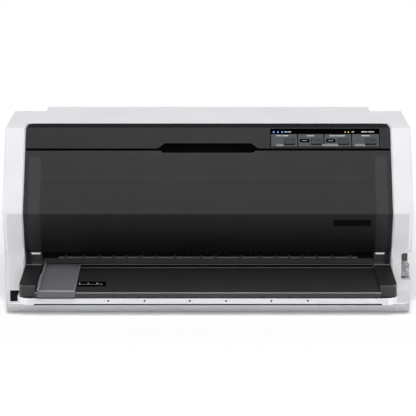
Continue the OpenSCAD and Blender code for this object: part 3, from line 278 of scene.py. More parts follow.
def socket_finish():
    """The interface card's sockets: a tin-plated shell below, streaked by the press tool, and a dark
    olive moulded body above on the green card."""
    material, tree, shader, spot = new_material("tin_plated_socket")
    place = add(tree, "ShaderNodeSeparateXYZ", Vector=spot)
    upper = add(tree, "ShaderNodeMath", {"operation": "GREATER_THAN", "1": 0.0425}, _0=place.outputs["Z"])
    outside = add(tree, "ShaderNodeMath", {"operation": "LESS_THAN", "1": 0.2209}, _0=place.outputs["X"])
    dull = add(tree, "ShaderNodeMath", {"operation": "MAXIMUM"}, _0=upper, _1=outside)
    stretch = add(tree, "ShaderNodeMapping", {"Scale": (1.0, 0.1, 1.0)}, Vector=spot)
    streak = add(tree, "ShaderNodeTexNoise", {"Scale": per_metre(2.5), "Detail": 4.0}, Vector=stretch)
    tin = ramp(tree, streak, [(0.35, "#7b7d7f"), (0.5, "#9fa1a3"), (0.62, "#c3c4c5")])
    olive = ramp(tree, streak, [(0.35, "#3d3f3c"), (0.65, "#4a4c48")])
    tone = add(tree, "ShaderNodeMix", {"data_type": "RGBA"}, _0=dull, _6=tin, _7=olive)
    metal = add(tree, "ShaderNodeMath", {"operation": "SUBTRACT", "0": 1.0}, _1=dull)
    matt = add(tree, "ShaderNodeMapRange", {"To Min": 0.28, "To Max": 0.5}, Value=streak)
    bump = add(tree, "ShaderNodeBump", {"Strength": 0.5, "Distance": 0.15 * MM}, Height=streak)
    join(tree, shader, Base_Color=tone, Metallic=metal, Roughness=matt, Normal=bump)
    return material


def make_finishes():
    """Every finish by the name that the pieces ask for."""
    return {
        # moulded ABS, pale cool grey, fine spark-eroded grain
        "case": moulded("pale_grey_abs", "#e5e5e7", "#e0e0e3", 0.55, wear_and_highlight="#f4f4f6", level=0.3),
        "case_low": moulded("pale_grey_abs_low", "#e4e5e8", "#dfe0e4", 0.55, wear_and_highlight="#f4f4f6", level=0.3),
        # the skirt that turns under is greyer as painted shade; round ends and corners are paler as a
        # painted highlight
        "case_base": moulded("scuffed_grey_abs_skirt", "#c9cacb", "#c3c4c5", 0.6, level=0.2),
        "rim_end": moulded("polished_grey_abs_rim", "#fafafc", "#f4f4f6", 0.4, level=0.4),
        # the same plastic, painted darker as shade, deep in the groove under the rim and in the pinholes
        "groove": moulded("dusty_groove_abs", "#4a4b4e", "#424346", 0.8, level=0.1),
        "pinhole": moulded("shaded_pinhole", "#0a0a0b", "#070708", 0.8, level=0.0),
        # moulded ABS, charcoal, the same grain as the case; its flat top is duller
        "panel": moulded("charcoal_abs", "#202022", "#1c1c1e", 0.45, wear_and_highlight="#59595b", level=0.2),
        "panel_top": moulded("charcoal_abs_top", "#29292a", "#262627", 0.8, wear_and_highlight="#59595b", level=0.0),
        # the same charcoal painted darker as shade, for recesses, the finger notch and the cover's lit
        # top edge
        "panel_deep": moulded("charcoal_abs_recess", "#0f0f10", "#0d0d0e", 0.8, level=0.03),
        # moulded ABS, black, with a painted highlight along its back edge; the lip is painted lighter
        # where light falls on it, with a painted shadow line below
        "table": moulded("black_abs_table", "#1e1e1f", "#1b1b1c", 0.5, level=0.3,
                         line=("#98989a", -82.0, -78.0, 30.0, 40.0)),
        "table_front": moulded("black_abs_table_lip", "#3a3a3b", "#363637", 0.5, level=0.3,
                               line=("#0c0c0d", -186.0, -150.0, 19.8, 20.8)),
        # the side blocks' tops are painted darker as shade, with a painted highlight line along their
        # back edge
        "table_block": moulded("black_abs_side_block", "#101011", "#0e0e0f", 0.55, level=0.12,
                               line=("#8a8a8b", -90.5, -86.0, 40.0, 60.0)),
        # the table's forward edges carry a painted highlight
        "table_edge": moulded("black_abs_worn_edge", "#7c7c7e", "#707072", 0.35, level=0.5),
        # the paper guide is the same black plastic, painted lighter as painted light
        "strip": moulded("black_abs_paper_guide", "#555556", "#4f4f50", 0.5, level=0.3),
        # its lip is painted lighter still, as a painted highlight
        "strip_lip": moulded("black_abs_worn_lip", "#6a6a6b", "#646465", 0.45, level=0.3),
        # moulded ABS, slate grey, with a painted shadow line along the bottom of its front lip and a
        # painted highlight on its broken edges
        "guide": moulded("slate_abs_guide", "#646569", "#5f6064", 0.45, level=0.3,
                         line=("#1c1c1e", -186.0, -183.0, 20.0, 21.5)),
        "guide_edge": moulded("slate_abs_worn_edge", "#a4a5aa", "#96979c", 0.35, level=0.5),
        # moulded ABS keycaps, slate, with a painted shadow along the lower edge
        "key": moulded("slate_keycap", "#353739", "#323436", 0.45, grain=0.9, wear_and_highlight="#5d6063", level=0.2,
                       line=("#141516", -80.0, -50.0, 170.0, 183.3)),
        "switch": moulded("black_nylon_switch", "#111112", "#0e0e0f", 0.35, grain=0.9, wear_and_highlight="#2a2a2c",
                          level=0.25),
        # unpigmented acetal; a painted glow keeps it bright in the shade under the cover
        "light": moulded("white_acetal", "#d8d8d6", "#d2d2d0", 0.35, grain=0.9, painted_glow=0.32),
        # glass-filled nylon, acetal and coloured ABS inside: plain mouldings without wear
        "inner": moulded("black_glass_filled_nylon", "#232325", "#1d1d1f", 0.55, grain=1.1),
        "gear": moulded("natural_acetal_gear", "#e9e6da", "#dfdccf", 0.32, grain=0.9),
        "knob": moulded("blue_moulded_knob", "#2c5d9c", "#285690", 0.4, grain=1.0),
        # printed polyester film and screen inks: nearly flat, with a fine grain
        "film": moulded("satin_printed_film", "#434749", "#3e4244", 0.4, 0.7, 0.01, level=0.25),
        "ink_black": moulded("black_screen_ink", "#020203", "#030304", 0.6, 0.7, 0.01, level=0.0),
        "ink_white": moulded("pale_screen_ink", "#abaeaf", "#a1a4a5", 0.5, 0.7, 0.01),
        "ink_grey": moulded("grey_screen_ink", "#74777a", "#6c6f72", 0.5, 0.7, 0.01),
        "badge": moulded("gloss_black_badge", "#060607", "#08080a", 0.16, 0.7, 0.005, level=0.3),
        "smoked": smoked_cover_finish("smoked_polycarbonate", 0.19, 0.5),
        "smoked_low": smoked_cover_finish("smoked_polycarbonate_satin", 0.36, 0.32),
        "rubber": rubber_finish(),
        "board": board_finish(),
        "ribbon": ribbon_finish(),
        "lamps": lamp_finish(),
        "sockets": socket_finish(),
        # zinc-plated steel sheet: cool, cloudy passivated plating over rolling lines
        "zinc": drawn_metal("zinc_plated_sheet", "#b9bdc1", "#9a9fa5", 0.38),
        # centreless-ground steel bar: rings round the bar, bright
        "ground": drawn_metal("ground_steel_bar", "#cdd0d3", "#b3b7bb", 0.22, along=(0.06, 1.0, 1.0)),
        # die-cast alloy is cloudy with no direction; the steel and brass keep their tool lines
        "alloy": drawn_metal("die_cast_alloy", "#8b8f94", "#74787d", 0.5, line=0.9, along=(1, 1, 1)),
        "can": drawn_metal("motor_steel_can", "#6b6e73", "#55585d", 0.4, along=(0.05, 1.0, 1.0)),
        "brass": drawn_metal("machined_brass", "#c8a24e", "#a98639", 0.3, line=0.3),
        "screw": drawn_metal("zinc_plated_screw", "#b5b8bb", "#8d9195", 0.3, line=0.6),
        "gold": drawn_metal("gold_plated_contact", "#d9b45a", "#c39a40", 0.25, line=0.3),
    }


FINISH_OF = {node: finish for finish, nodes in {
    "case": "upper_case rear_cover",
    "case_low": "lower_case",
    "panel": "panel_bezel",
    "film": "panel_label",
    "lamps": "status_lamps",
    "key": "key_1 key_2 key_3 key_4",
    "smoked": "front_cover",
    "light": "cover_brackets",
    "table": "front_table rear_guide",
    "strip": "paper_guide",
    "guide": "edge_guide",
    "switch": "switch_housing power_rocker power_inlet",
    "zinc": "chassis_plate side_frame_left side_frame_right head_rail belt_brackets power_supply",
    "ground": "carriage_rod drive_pulley idler_pulley platen_shaft gear_pins tractor_shaft tractor_rod "
              "case_screws",
    "inner": "print_carriage ribbon_cartridge front_pinch_rollers rear_pinch_rollers tractor_left "
             "tractor_right tractor_lid_left tractor_lid_right",
    "alloy": "print_head",
    "knob": "ribbon_knob",
    "ribbon": "ink_ribbon",
    "can": "carriage_motor feed_motor",
    "rubber": "timing_belt platen_roller front_feed_roller rear_feed_roller rubber_feet",
    "gear": "platen_gear front_feed_gear rear_feed_gear idler_gear_front idler_gear_rear",
    "brass": "motor_pinion",
    "board": "main_board panel_board",
    "sockets": "connectors",
}.items() for node in nodes.split()}


# ---- mesh helpers ----
MERGE_WITHIN = 2e-6  # metres between corners that are one corner
FLAT_WITHIN = math.radians(0.6)  # faces this close to a plane are one face
SMOOTH_BELOW = math.radians(24.0)  # edges blunter than this are shaded smooth
SHORTEST_EDGE = 0.9 * MM  # a shorter edge stays sharp
SHARE_OF_ROOM = 0.4  # how much of the face beside it a broken edge may take
LEAST_SHARE = 0.15  # an edge that would be broken by less stays sharp
STEEP = 0.7  # sine of the angle from which the next edge bounds the room beside an edge


def body_of_node(node):
    """The body that a CAD node rides on."""
    return frame["nodes"][node]["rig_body"]


def link(name, mesh, finish):
    """A new object in the scene with one finish."""
    obj = bpy.data.objects.new(name, mesh)
    bpy.context.scene.collection.objects.link(obj)
    mesh.materials.clear()
    mesh.materials.append(FINISHES[finish])
    return obj


@contextmanager
def editing(mesh):
    """A bmesh copy of a mesh, written back at the end."""
    work = bmesh.new()
    work.from_mesh(mesh)
    yield work
    work.to_mesh(mesh)
    work.free()


def merged(node):
    """A CAD node's mesh with its loose triangles joined and its flat faces made whole."""
    mesh = frame["nodes"][node].data.copy()
    with editing(mesh) as work:
        bmesh.ops.remove_doubles(work, verts=work.verts, dist=MERGE_WITHIN)
        bmesh.ops.dissolve_limit(work, angle_limit=FLAT_WITHIN, verts=work.verts, edges=work.edges)
    for name in ("custom_normal", "sharp_face", "sharp_edge"):
        if name in mesh.attributes:
            mesh.attributes.remove(mesh.attributes[name])
    return mesh


def room_beside(edge, face, width):
    """How far a face reaches beside an edge, so that a broken edge never runs past a thin lip."""
    start, end = edge.verts[0].co, edge.verts[1].co
    length = (end - start).length
    along = (end - start) / length
    room = 1.0
    for vert in face.verts:
        if vert in edge.verts:
            continue
        near = min((vert.co - v.co).normalized().cross(along).length for v in edge.verts)
        offset = vert.co - start
        reach = offset.dot(along)
        away = (offset - along * reach).length
        next_to = any(v in edge.verts for e in vert.link_edges if e in face.edges for v in e.verts)
        if (near > STEEP if next_to else -width < reach < length + width):
            room = min(room, away)
    return room


def moulding(node, finish, *more):
    """A CAD node with joined faces, smooth over its small curves. It stands for the node, rides
    where the node does and has one material slot for each finish."""
    obj = link(node + "_moulded", merged(node), finish)
    for other in more:
        obj.data.materials.append(FINISHES[other])
    with editing(obj.data) as work:
        for edge in work.edges:
            edge.smooth = edge.calc_face_angle(math.pi) < SMOOTH_BELOW
    obj.data.shade_smooth()
    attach(obj, body_of_node(node))
    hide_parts(node)
    return obj


def settled(obj):
    """Gives an object the plain mesh that its modifiers make."""
    done = bpy.data.meshes.new_from_object(obj.evaluated_get(bpy.context.evaluated_depsgraph_get()))
    obj.modifiers.clear()
    obj.data = done
    done.name = obj.name
    return done


def softened(node, finish, width, *more, segments=2, angle=32.0, edge_finish=None):
    """A moulding with its outer edges broken to that width in millimetres, as a mould leaves them.
    The second material slot is that of the broken edges."""
    obj = moulding(node, finish, edge_finish or finish, *more)
    width *= MM
    with editing(obj.data) as work:
        share = work.edges.layers.float.new("bevel_weight_edge")
        for edge in work.edges:
            sharp = edge.is_convex and edge.calc_face_angle(0.0) > math.radians(angle)
            if sharp and edge.calc_length() > SHORTEST_EDGE:
                room = min(room_beside(edge, face, width) for face in edge.link_faces)
                fit = min(1.0, SHARE_OF_ROOM * room / width)
                edge[share] = fit if fit > LEAST_SHARE else 0.0
                edge.smooth = edge.smooth or edge[share] > 0.0
    bevel = obj.modifiers.new("broken edges", "BEVEL")
    bevel.width = width
    bevel.segments = segments
    bevel.limit_method = "WEIGHT"
    bevel.use_clamp_overlap = False
    bevel.miter_outer = "MITER_SHARP"
    bevel.harden_normals = True
    bevel.material = 1
    corners = np.array([v.co for v in obj.data.vertices])
    low, high = corners.min(axis=0), corners.max(axis=0)
    for vert in settled(obj).vertices:
        vert.co = np.clip(np.array(vert.co), low, high)
    return obj


def painted(obj, finish, test):
    """Gives one of its finishes to the faces whose centre in millimetres and normal pass the test."""
    slot = obj.data.materials.find(FINISHES[finish].name)
    for face in obj.data.polygons:
        if test(face.center / MM, face.normal):
            face.material_index = slot


def new_tree(name, **sockets):
    """A Geometry Nodes tree with named inputs of the given kinds, and those inputs' sockets."""
    tree = bpy.data.node_groups.new(name, "GeometryNodeTree")
    tree.interface.new_socket("Geometry", in_out="OUTPUT", socket_type="NodeSocketGeometry")
    for name, kind in {"Geometry": "Geometry", **sockets, "Finish": "Material"}.items():
        tree.interface.new_socket(name.replace("_", " "), in_out="INPUT", socket_type="NodeSocket" + kind)
    return tree, add(tree, "NodeGroupInput").outputs


def close_tree(tree, geometry, finish):
    """Ends a tree: real geometry with one finish."""
    real = add(tree, "GeometryNodeRealizeInstances", Geometry=geometry)
    dressed = add(tree, "GeometryNodeSetMaterial", Geometry=real, Material=finish)
    add(tree, "NodeGroupOutput", Geometry=dressed)


def grown(name, tree, points, finish, body, slot, **values):
    """The plain mesh that a tree makes from points in millimetres and its inputs by name."""
    mesh = bpy.data.meshes.new(name)
    mesh.from_pydata([Vector(p) * MM for p in points], [], [])
    obj = link(name, mesh, finish)
    pattern = obj.modifiers.new("pattern", "NODES")
    pattern.node_group = tree
    values["Finish"] = FINISHES[finish]
    for item in tree.interface.items_tree:
        key = item.name.replace(" ", "_")
        if item.in_out == "INPUT" and key in values:
            pattern[item.identifier] = values[key]
    done = settled(obj)
    if not done.polygons:
        raise RuntimeError(name + " came out empty")
    done.materials.clear()
    done.materials.append(FINISHES[finish])
    for face in done.polygons:
        face.material_index = 0
    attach(obj, body)
    return obj


def screw_tree():
    """Pan-head screws with a cross recess, one on each point, all turned the same way."""
    tree, given = new_tree("screw_heads", Radius="Float", Height="Float", Turn="Vector")
    head = add(tree, "GeometryNodeMeshCylinder", {"Vertices": 20}, Radius=given["Radius"],
               Depth=given["Height"])
    wide = add(tree, "ShaderNodeMath", {"operation": "MULTIPLY", "1": 1.2}, _0=given["Radius"])
    thin = add(tree, "ShaderNodeMath", {"operation": "MULTIPLY", "1": 0.3}, _0=given["Radius"])
    slot = add(tree, "ShaderNodeCombineXYZ", X=wide, Y=thin, Z=given["Height"])
    cross = add(tree, "ShaderNodeCombineXYZ", X=thin, Y=wide, Z=given["Height"])
    bars = add(tree, "GeometryNodeJoinGeometry")
    for size in (slot, cross):
        join(tree, bars, Geometry=add(tree, "GeometryNodeMeshCube", Size=size))
    up = add(tree, "ShaderNodeMath", {"operation": "MULTIPLY", "1": 0.55}, _0=given["Height"])
    lift = add(tree, "ShaderNodeCombineXYZ", Z=up)
    raised = add(tree, "GeometryNodeTransform", Geometry=bars, Translation=lift)
    cut = add(tree, "GeometryNodeMeshBoolean", {
        "operation": "DIFFERENCE", "solver": "EXACT", "Self Intersection": True}, _0=head, _1=raised)
    turn = add(tree, "FunctionNodeEulerToRotation", _0=given["Turn"])
    set_out = add(tree, "GeometryNodeInstanceOnPoints", Points=given["Geometry"], Instance=cut,
                  Rotation=turn)
    close_tree(tree, set_out, given["Finish"])
    return tree


NEVER = 1000  # more blocks than any row has


def row_tree():
    """A straight row of equal blocks from each point: belt teeth, contacts and the ticks of a scale.
    Every so many blocks one is longer along the second axis."""
    tree, given = new_tree("block_row", Count="Int", Pitch="Vector", Block="Vector", Long_every="Int",
                           Long_by="Float")
    row = add(tree, "GeometryNodeMeshLine", Count=given["Count"], Offset=given["Pitch"])
    index = add(tree, "GeometryNodeInputIndex")
    rest = add(tree, "ShaderNodeMath", {"operation": "MODULO"}, _0=index, _1=given["Long every"])
    short = add(tree, "ShaderNodeMath", {"operation": "GREATER_THAN", "1": 0.5}, _0=rest)
    stretch = add(tree, "ShaderNodeMapRange", {"From Min": 1.0, "From Max": 0.0, "To Min": 1.0},
                  Value=short, To_Max=given["Long by"])
    scale = add(tree, "ShaderNodeCombineXYZ", {"X": 1.0, "Z": 1.0}, Y=stretch)
    block = add(tree, "GeometryNodeMeshCube", Size=given["Block"])
    along = add(tree, "GeometryNodeInstanceOnPoints", Points=row, Instance=block, Scale=scale)
    line = add(tree, "GeometryNodeRealizeInstances", Geometry=along)
    rows = add(tree, "GeometryNodeInstanceOnPoints", Points=given["Geometry"], Instance=line)
    close_tree(tree, rows, given["Finish"])
    return tree


# ---- faces that carry marks ----
SLOPE_RUN, SLOPE_RISE = 0.4845, 0.8748  # the sloping face's unit steps back and down
TOP_FRONT = Vector((0.0, -55.5, 200.4))
DOWN = Vector((0.0, -SLOPE_RUN, -SLOPE_RISE))
OUT = Vector((0.0, -SLOPE_RISE, SLOPE_RUN))
KNEE = Vector((0.0, -108.0, 105.6))
COVER_DOWN = Vector((0.0, 0.3209, -0.9471))
COVER_OUT = Vector((0.0, -0.9471, -0.3209))
TABLE_EDGE = Vector((0.0, -182.0, 26.8))
TABLE_UP = Vector((0.0, 0.99559, 0.09382))
TABLE_OUT = Vector((0.0, -0.09382, 0.99559))
RIM_FRONT, RIM_TOP = -182.6, 20.0
PINHOLES = (20.6, 72.0, 113.2)  # distances of the rim's small holes from the middle
FILM = 0.5  # how far the panel's film stands proud of the sloping face


def on_slope(x, s, h):
    """A point on the sloping face, in metres: x across, s down from the top edge, h proud of it."""
    return (TOP_FRONT + Vector((x, 0, 0)) + DOWN * s + OUT * h) * MM


def on_cover(x, s, h):
    """A point on the cover's lower face: s down from the knee."""
    return (KNEE + Vector((x, 0, 0)) + COVER_DOWN * s + COVER_OUT * h) * MM


def on_table(x, s, h):
    """A point on the paper table: s back from its front edge."""
    return (TABLE_EDGE + Vector((x, 0, 0)) + TABLE_UP * s + TABLE_OUT * h) * MM


def on_rim(x, s, h):
    """A point on the front of the rim: s down from its top."""
    return Vector((x, RIM_FRONT - h, RIM_TOP - s)) * MM


def plates(name, shapes, place, low, high, finish, body):
    """Thin printed or moulded plates: each shape is an outline in (across, down), raised from low
    to high off the face that place() gives."""
    mesh = bpy.data.meshes.new(name)
    with editing(mesh) as work:
        for outline in shapes:
            back, front = ([work.verts.new(place(x, s, h)) for x, s in outline] for h in (low, high))
            work.faces.new(front)
            work.faces.new(back[::-1])
            for i in range(len(outline)):
                j = (i + 1) % len(outline)
                work.faces.new((back[i], back[j], front[j], front[i]))
        bmesh.ops.recalc_face_normals(work, faces=work.faces)
    obj = link(name, mesh, finish)
    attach(obj, body)
    return obj


def rects(s0, s1, *ends):
    """Outlines of rectangles between two distances down, each with its own two ends across."""
    return [[(x0, s0), (x1, s0), (x1, s1), (x0, s1)] for x0, x1 in ends]


def oval(x0, x1, s0, s1, corner=None):
    """A rectangle with round corners, or with half-round ends where no corner is given."""
    r = corner or (s1 - s0) / 2
    steps = 6
    points = []
    for cx, cs, start in ((x1 - r, s0 + r, -90), (x1 - r, s1 - r, 0), (x0 + r, s1 - r, 90),
                          (x0 + r, s0 + r, 180)):
        for i in range(steps + 1):
            a = math.radians(start + 90 * i / steps)
            point = (cx + r * math.cos(a), cs + r * math.sin(a))
            if not points or math.dist(point, points[-1]) > 1e-6:
                points.append(point)
    return points


# ---- operators ----
SENSOR = 36.0  # millimetres across the camera's sensor
FOCAL_PIXELS, FRAME_PIXELS = 1897, 416  # focal length and frame width in pixels


class PrinterSizes(bpy.types.PropertyGroup):
    """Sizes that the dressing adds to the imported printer."""

    case_edge: bpy.props.FloatProperty(
        name="Case edge", description="Radius left by the mould on the case's edges, in millimetres",
        default=0.6, min=0.2, max=1.2)
    trim_edge: bpy.props.FloatProperty(
        name="Trim edge", description="Radius on the table, panel and guide edges, in millimetres",
        default=0.45, min=0.15, max=0.8)
    print_thickness: bpy.props.FloatProperty(
        name="Print thickness", description="How far printed marks stand proud, in millimetres",
        default=0.05, min=0.02, max=0.1)


class PrinterStudio(bpy.types.PropertyGroup):
    """Light and camera of the studio."""

    key_power: bpy.props.FloatProperty(
        name="Key light", description="Power of the large overhead lamp", default=22.0, min=0.0,
        unit="POWER")
    lens: bpy.props.FloatProperty(
        name="Lens", description="Focal length of the camera", min=20.0, unit="CAMERA",
        default=FOCAL_PIXELS / FRAME_PIXELS * SENSOR)


class DressFrame(bpy.types.Operator):
    """Gives every carried-over part of the frame its own finish"""

    bl_idname = "printer.dress_frame"
    bl_label = "Dress the frame"

    def execute(self, context):
        for node, obj in frame["nodes"].items():
            obj.data.materials.clear()
            obj.data.materials.append(FINISHES[FINISH_OF[node]])
        return {"FINISHED"}


class DressCases(bpy.types.Operator):
    """Moulds the two case halves and the rear cover, with broken edges on the lower half and the rear
    cover
    """

    bl_idname = "printer.dress_cases"
    bl_label = "Dress the cases"

    def execute(self, context):
        sizes = context.scene.printer_sizes
        shell = moulding("upper_case", "case", "rim_end")
        # a painted highlight on the outer corners of the front columns
        painted(shell, "rim_end", lambda c, n: c.z < 104.0 and c.y < -100.0 and n.y < -0.15
                and n.x * c.x > 0.25 * abs(c.x))
        pan = softened("lower_case", "case_low", sizes.case_edge, "groove", "pinhole", "case_base",
                       "rim_end", segments=3)
        # painted shade on the skirt, in the groove under the rim and on the walls of its holes; a painted
        # highlight on the rim's rounded ends
        painted(pan, "case_base", lambda c, n: c.z < 12.5 and c.y < -120.0 and n.y < -0.1 and n.z > -0.9)
        painted(pan, "rim_end", lambda c, n: 12.5 < c.z < 20.5 and abs(c.x) > 203.0 and c.y < -165.0
                and n.y < -0.2)
        painted(pan, "groove", lambda c, n: 12.3 < c.z < 13.8 and -182.3 < c.y < -177.0
                and abs(c.x) < 198.0)
        painted(pan, "pinhole", lambda c, n: abs(c.z - 17.4) < 1.6 and -182.59 < c.y < -180.0
                and n.y > -0.98 and min(abs(abs(c.x) - x) for x in PINHOLES) < 1.6)
        # dark discs over the pinholes, slightly proud of the rim, as painted shade
        hole_shades = [oval(s * x - 1.1, s * x + 1.1, 1.5, 3.7) for s in (-1, 1) for x in PINHOLES]
        plates("pinhole_floors", hole_shades, on_rim, -0.3, 0.02, "pinhole", "printer")
        softened("rear_cover", "case", sizes.trim_edge)
        return {"FINISHED"}


class DressTrim(bpy.types.Operator):
    """Moulds the panel, covers, table, guide and keys with broken edges"""

    bl_idname = "printer.dress_trim"
    bl_label = "Dress the trim"

    def execute(self, context):
        sizes = context.scene.printer_sizes
        # satin below the knee; painted shade along the top edge and in the finger notch
        cover = softened("front_cover", "smoked", sizes.trim_edge, "smoked_low", "panel_deep", angle=60.0)
        painted(cover, "smoked_low", lambda c, n: c.z < KNEE.z and n.z < 0.0)
        painted(cover, "panel_deep", lambda c, n: c.z > 160.0 and (n.z > 0.62 or abs(c.x) < 62.0)
                and n.y < 0.5 and (n.z > 0.62 or (c - TOP_FRONT).dot(OUT) < -0.6))
        # a painted highlight on the edges that face forward; the lip and block fronts painted lighter
        # where light falls on them, the side blocks' tops painted darker as shade
        table = softened("front_table", "table", sizes.trim_edge * 1.3, "table_front", "table_block",
                         edge_finish="table_edge")
        painted(table, "table", lambda c, n: n.z < 0.25 or n.z > 0.98 or n.y > -0.2)
        painted(table, "table_edge", lambda c, n: 0.25 < n.z < 0.97 and n.y < -0.2)
        painted(table, "table_front", lambda c, n: n.y < -0.9 and c.y < -160.0)
        painted(table, "table_front", lambda c, n: n.y < -0.3 and abs(n.z) < 0.25 and abs(c.x) > 199.0
                and c.y < -160.0)
        painted(table, "table_block", lambda c, n: n.z > 0.98 and abs(c.x) > 199.0)
        # the slider's broken edges that face upward keep a painted highlight
        slider = softened("edge_guide", "guide", sizes.trim_edge, edge_finish="guide_edge")
        painted(slider, "guide", lambda c, n: n.z < 0.3)
        # the bezel's duller flat top, and painted shade on the walls behind its face
        bezel = softened("panel_bezel", "panel", sizes.trim_edge, "panel_top", "panel_deep")
        painted(bezel, "panel_top", lambda c, n: n.z > 0.8)
        painted(bezel, "panel_deep", lambda c, n: n.z < 0.8 and (c - TOP_FRONT).dot(OUT) < -0.9)
        # a dark sheet deep behind the finger notch, as painted shade
        plates("notch_floor", [oval(-64.0, 64.0, 19.0, 32.0, corner=2.0)], on_slope, -13.6, -12.2,
               "panel_deep", "printer")
        # the paper guide's back and foot in the table's plain black, a painted highlight on its lip,
        # painted shade in its recess, and its pedestals in the lit lip tone
        guide = softened("paper_guide", "strip", sizes.trim_edge * 0.6, "table", "strip_lip",
                         "panel_deep", "table_front")
        painted(guide, "table", lambda c, n: c.y > -65.5 or (n.y < -0.7 and c.y < -77.0 and c.z > 40.8))
        painted(guide, "strip_lip", lambda c, n: n.y < -0.8 and c.z > 45.4 and abs(c.x) < 178.0
                and c.y < -67.5)
        painted(guide, "panel_deep", lambda c, n: n.y < -0.8 and -74.6 < c.y < -73.0)
        painted(guide, "table_front", lambda c, n: abs(c.x) > 198.6 and c.y < -65.5)
        for node in "cover_brackets switch_housing power_rocker key_1 key_2 key_3 key_4".split():
            softened(node, FINISH_OF[node], sizes.trim_edge * 0.6)
        return {"FINISHED"}


TURNED = ("platen_roller front_feed_roller rear_feed_roller platen_shaft carriage_rod tractor_shaft "
          "tractor_rod drive_pulley idler_pulley timing_belt front_pinch_rollers rear_pinch_rollers "
          "motor_pinion platen_gear front_feed_gear rear_feed_gear idler_gear_front idler_gear_rear")
MOULDED = ("print_carriage print_head ribbon_cartridge ribbon_knob carriage_motor feed_motor "
           "tractor_left tractor_right tractor_lid_left tractor_lid_right rear_guide power_inlet "
           "power_supply rubber_feet connectors")


class DressMechanism(bpy.types.Operator):
    """Rounds the turned parts and breaks the edges of the moulded parts inside"""

    bl_idname = "printer.dress_mechanism"
    bl_label = "Dress the mechanism"

    def execute(self, context):
        width = context.scene.printer_sizes.trim_edge * 0.7
        for node in TURNED.split():
            moulding(node, FINISH_OF[node])
        for node in MOULDED.split():
            softened(node, FINISH_OF[node], width)
        return {"FINISHED"}


class PrintPanel(bpy.types.Operator):
    """Prints the panel's dark strip, its cell lines, the outlined ovals and plain generic marks"""

    bl_idname = "printer.print_panel"
    bl_label = "Print the panel"

    def execute(self, context):
        ink = context.scene.printer_sizes.print_thickness
        high = FILM + ink
        lines = rects(1.6, 8.5, (73.6, 203.0)) + rects(8.5, 25.0, (73.6, 74.6), (202.2, 203.0))
        lines += rects(8.5, 25.0, *((x - 0.6, x + 0.6) for x in (106.0, 137.1, 169.8)))
        lines += rects(24.5, 25.0, (73.6, 203.0))
        lines += [oval(x0, x1, 14.5, 19.2) for x0, x1 in ((108.0, 120.2), (139.2, 151.0))]
        plates("panel_black_print", lines, on_slope, FILM, high, "ink_black", "printer")
        pale = rects(21.0, 24.0, (80.9, 89.3), (134.6, 154.0), (173.5, 185.3))
        pale += rects(16.3, 17.3, (110.8, 117.4), (142.0, 148.2))
        plates("panel_pale_print", pale, on_slope, high, high + ink, "ink_grey", "printer")
        dashes = rects(4.9, 6.3, (90.6, 94.0), (94.8, 98.2), (170.2, 172.8), (181.4, 188.6),
                       (189.8, 196.6))
        dashes += rects(9.9, 11.3, (81.0, 86.6), (87.8, 94.8), (117.0, 125.4), (143.6, 151.0),
                        (151.8, 162.0), (181.6, 191.2))
        plates("panel_dash_print", dashes, on_slope, high, high + ink, "ink_white", "printer")
        return {"FINISHED"}


class FixBadge(bpy.types.Operator):
    """Fixes the bare dark plate to the cover's lower face"""

    bl_idname = "printer.fix_badge"
    bl_label = "Fix the bare badge"

    def execute(self, context):
        plates("bare_badge", [oval(146.7, 190.5, 8.2, 16.2, corner=1.0)], on_cover, -0.1, 0.5, "badge",
               "front_cover")
        return {"FINISHED"}


class StickTableLabel(bpy.types.Operator):
    """Sticks the small black label with its plain scale on the paper table"""

    bl_idname = "printer.stick_table_label"
    bl_label = "Stick the table label"

    def execute(self, context):
        plates("table_label", [oval(-150.0, -117.5, 24.2, 43.9, corner=1.2)], on_table, -0.05, 0.08,
               "ink_black", "printer")
        marks = rects(31.8, 33.4, (-148.6, -121.4)) + rects(30.8, 34.6, (-124.8, -121.4))
        plates("table_label_marks", marks, on_table, 0.08, 0.12, "ink_grey", "printer")
        ticks = grown("table_label_ticks", row_tree(), [(0, 0, 0)], "ink_white", "printer", "label_film",
                      Count=3, Pitch=(10.1 * MM, 0.0, 0.0), Block=(1.6 * MM, 6.0 * MM, 0.06 * MM),
                      Long_every=2, Long_by=1.25)
        place = Matrix((Vector((1, 0, 0)), TABLE_UP, TABLE_OUT)).transposed().to_4x4()
        place.translation = on_table(-147.9, 35.0, 0.09)
        ticks.data.transform(place)
        return {"FINISHED"}


class DriveScrews(bpy.types.Operator):
    """Drives pan-head screws into the flanges behind the cover, the case posts, boards and brackets"""

    bl_idname = "printer.drive_screws"
    bl_label = "Drive the screws"

    def execute(self, context):
        tree = screw_tree()
        level, slope = (0, 0, 0), (math.atan2(SLOPE_RISE, SLOPE_RUN), 0, 0)
        flange = [Vector((x, -95.4 + 31.4 * k, 108.0 + 57.0 * k)) + OUT * 0.7
                  for x in (-202.0, 202.0) for k in (0.14, 0.5, 0.86)]
        boards, supply, brackets = ([(x, y, z) for x in across for y in back] for across, back, z in (
            ((-54.0, 184.0), (90.0, 152.0), 14.1),
            ((-191.0, -81.0), (93.0, 153.0), 58.5),
            ((-168.5, 168.5), (21.0, 51.0), 109.5),
        ))
        for name, points, turn, radius, height in (
            ("flange_screws", flange, slope, 2.6, 1.5),
            ("board_screws", boards, level, 2.6, 1.2),
            ("supply_screws", supply, level, 1.8, 1.1),
            ("bracket_screws", brackets, level, 2.2, 1.2),
        ):
            grown(name, tree, points, "screw", "printer", "ground_steel", Radius=radius * MM,
                  Height=height * MM, Turn=turn)
        return {"FINISHED"}


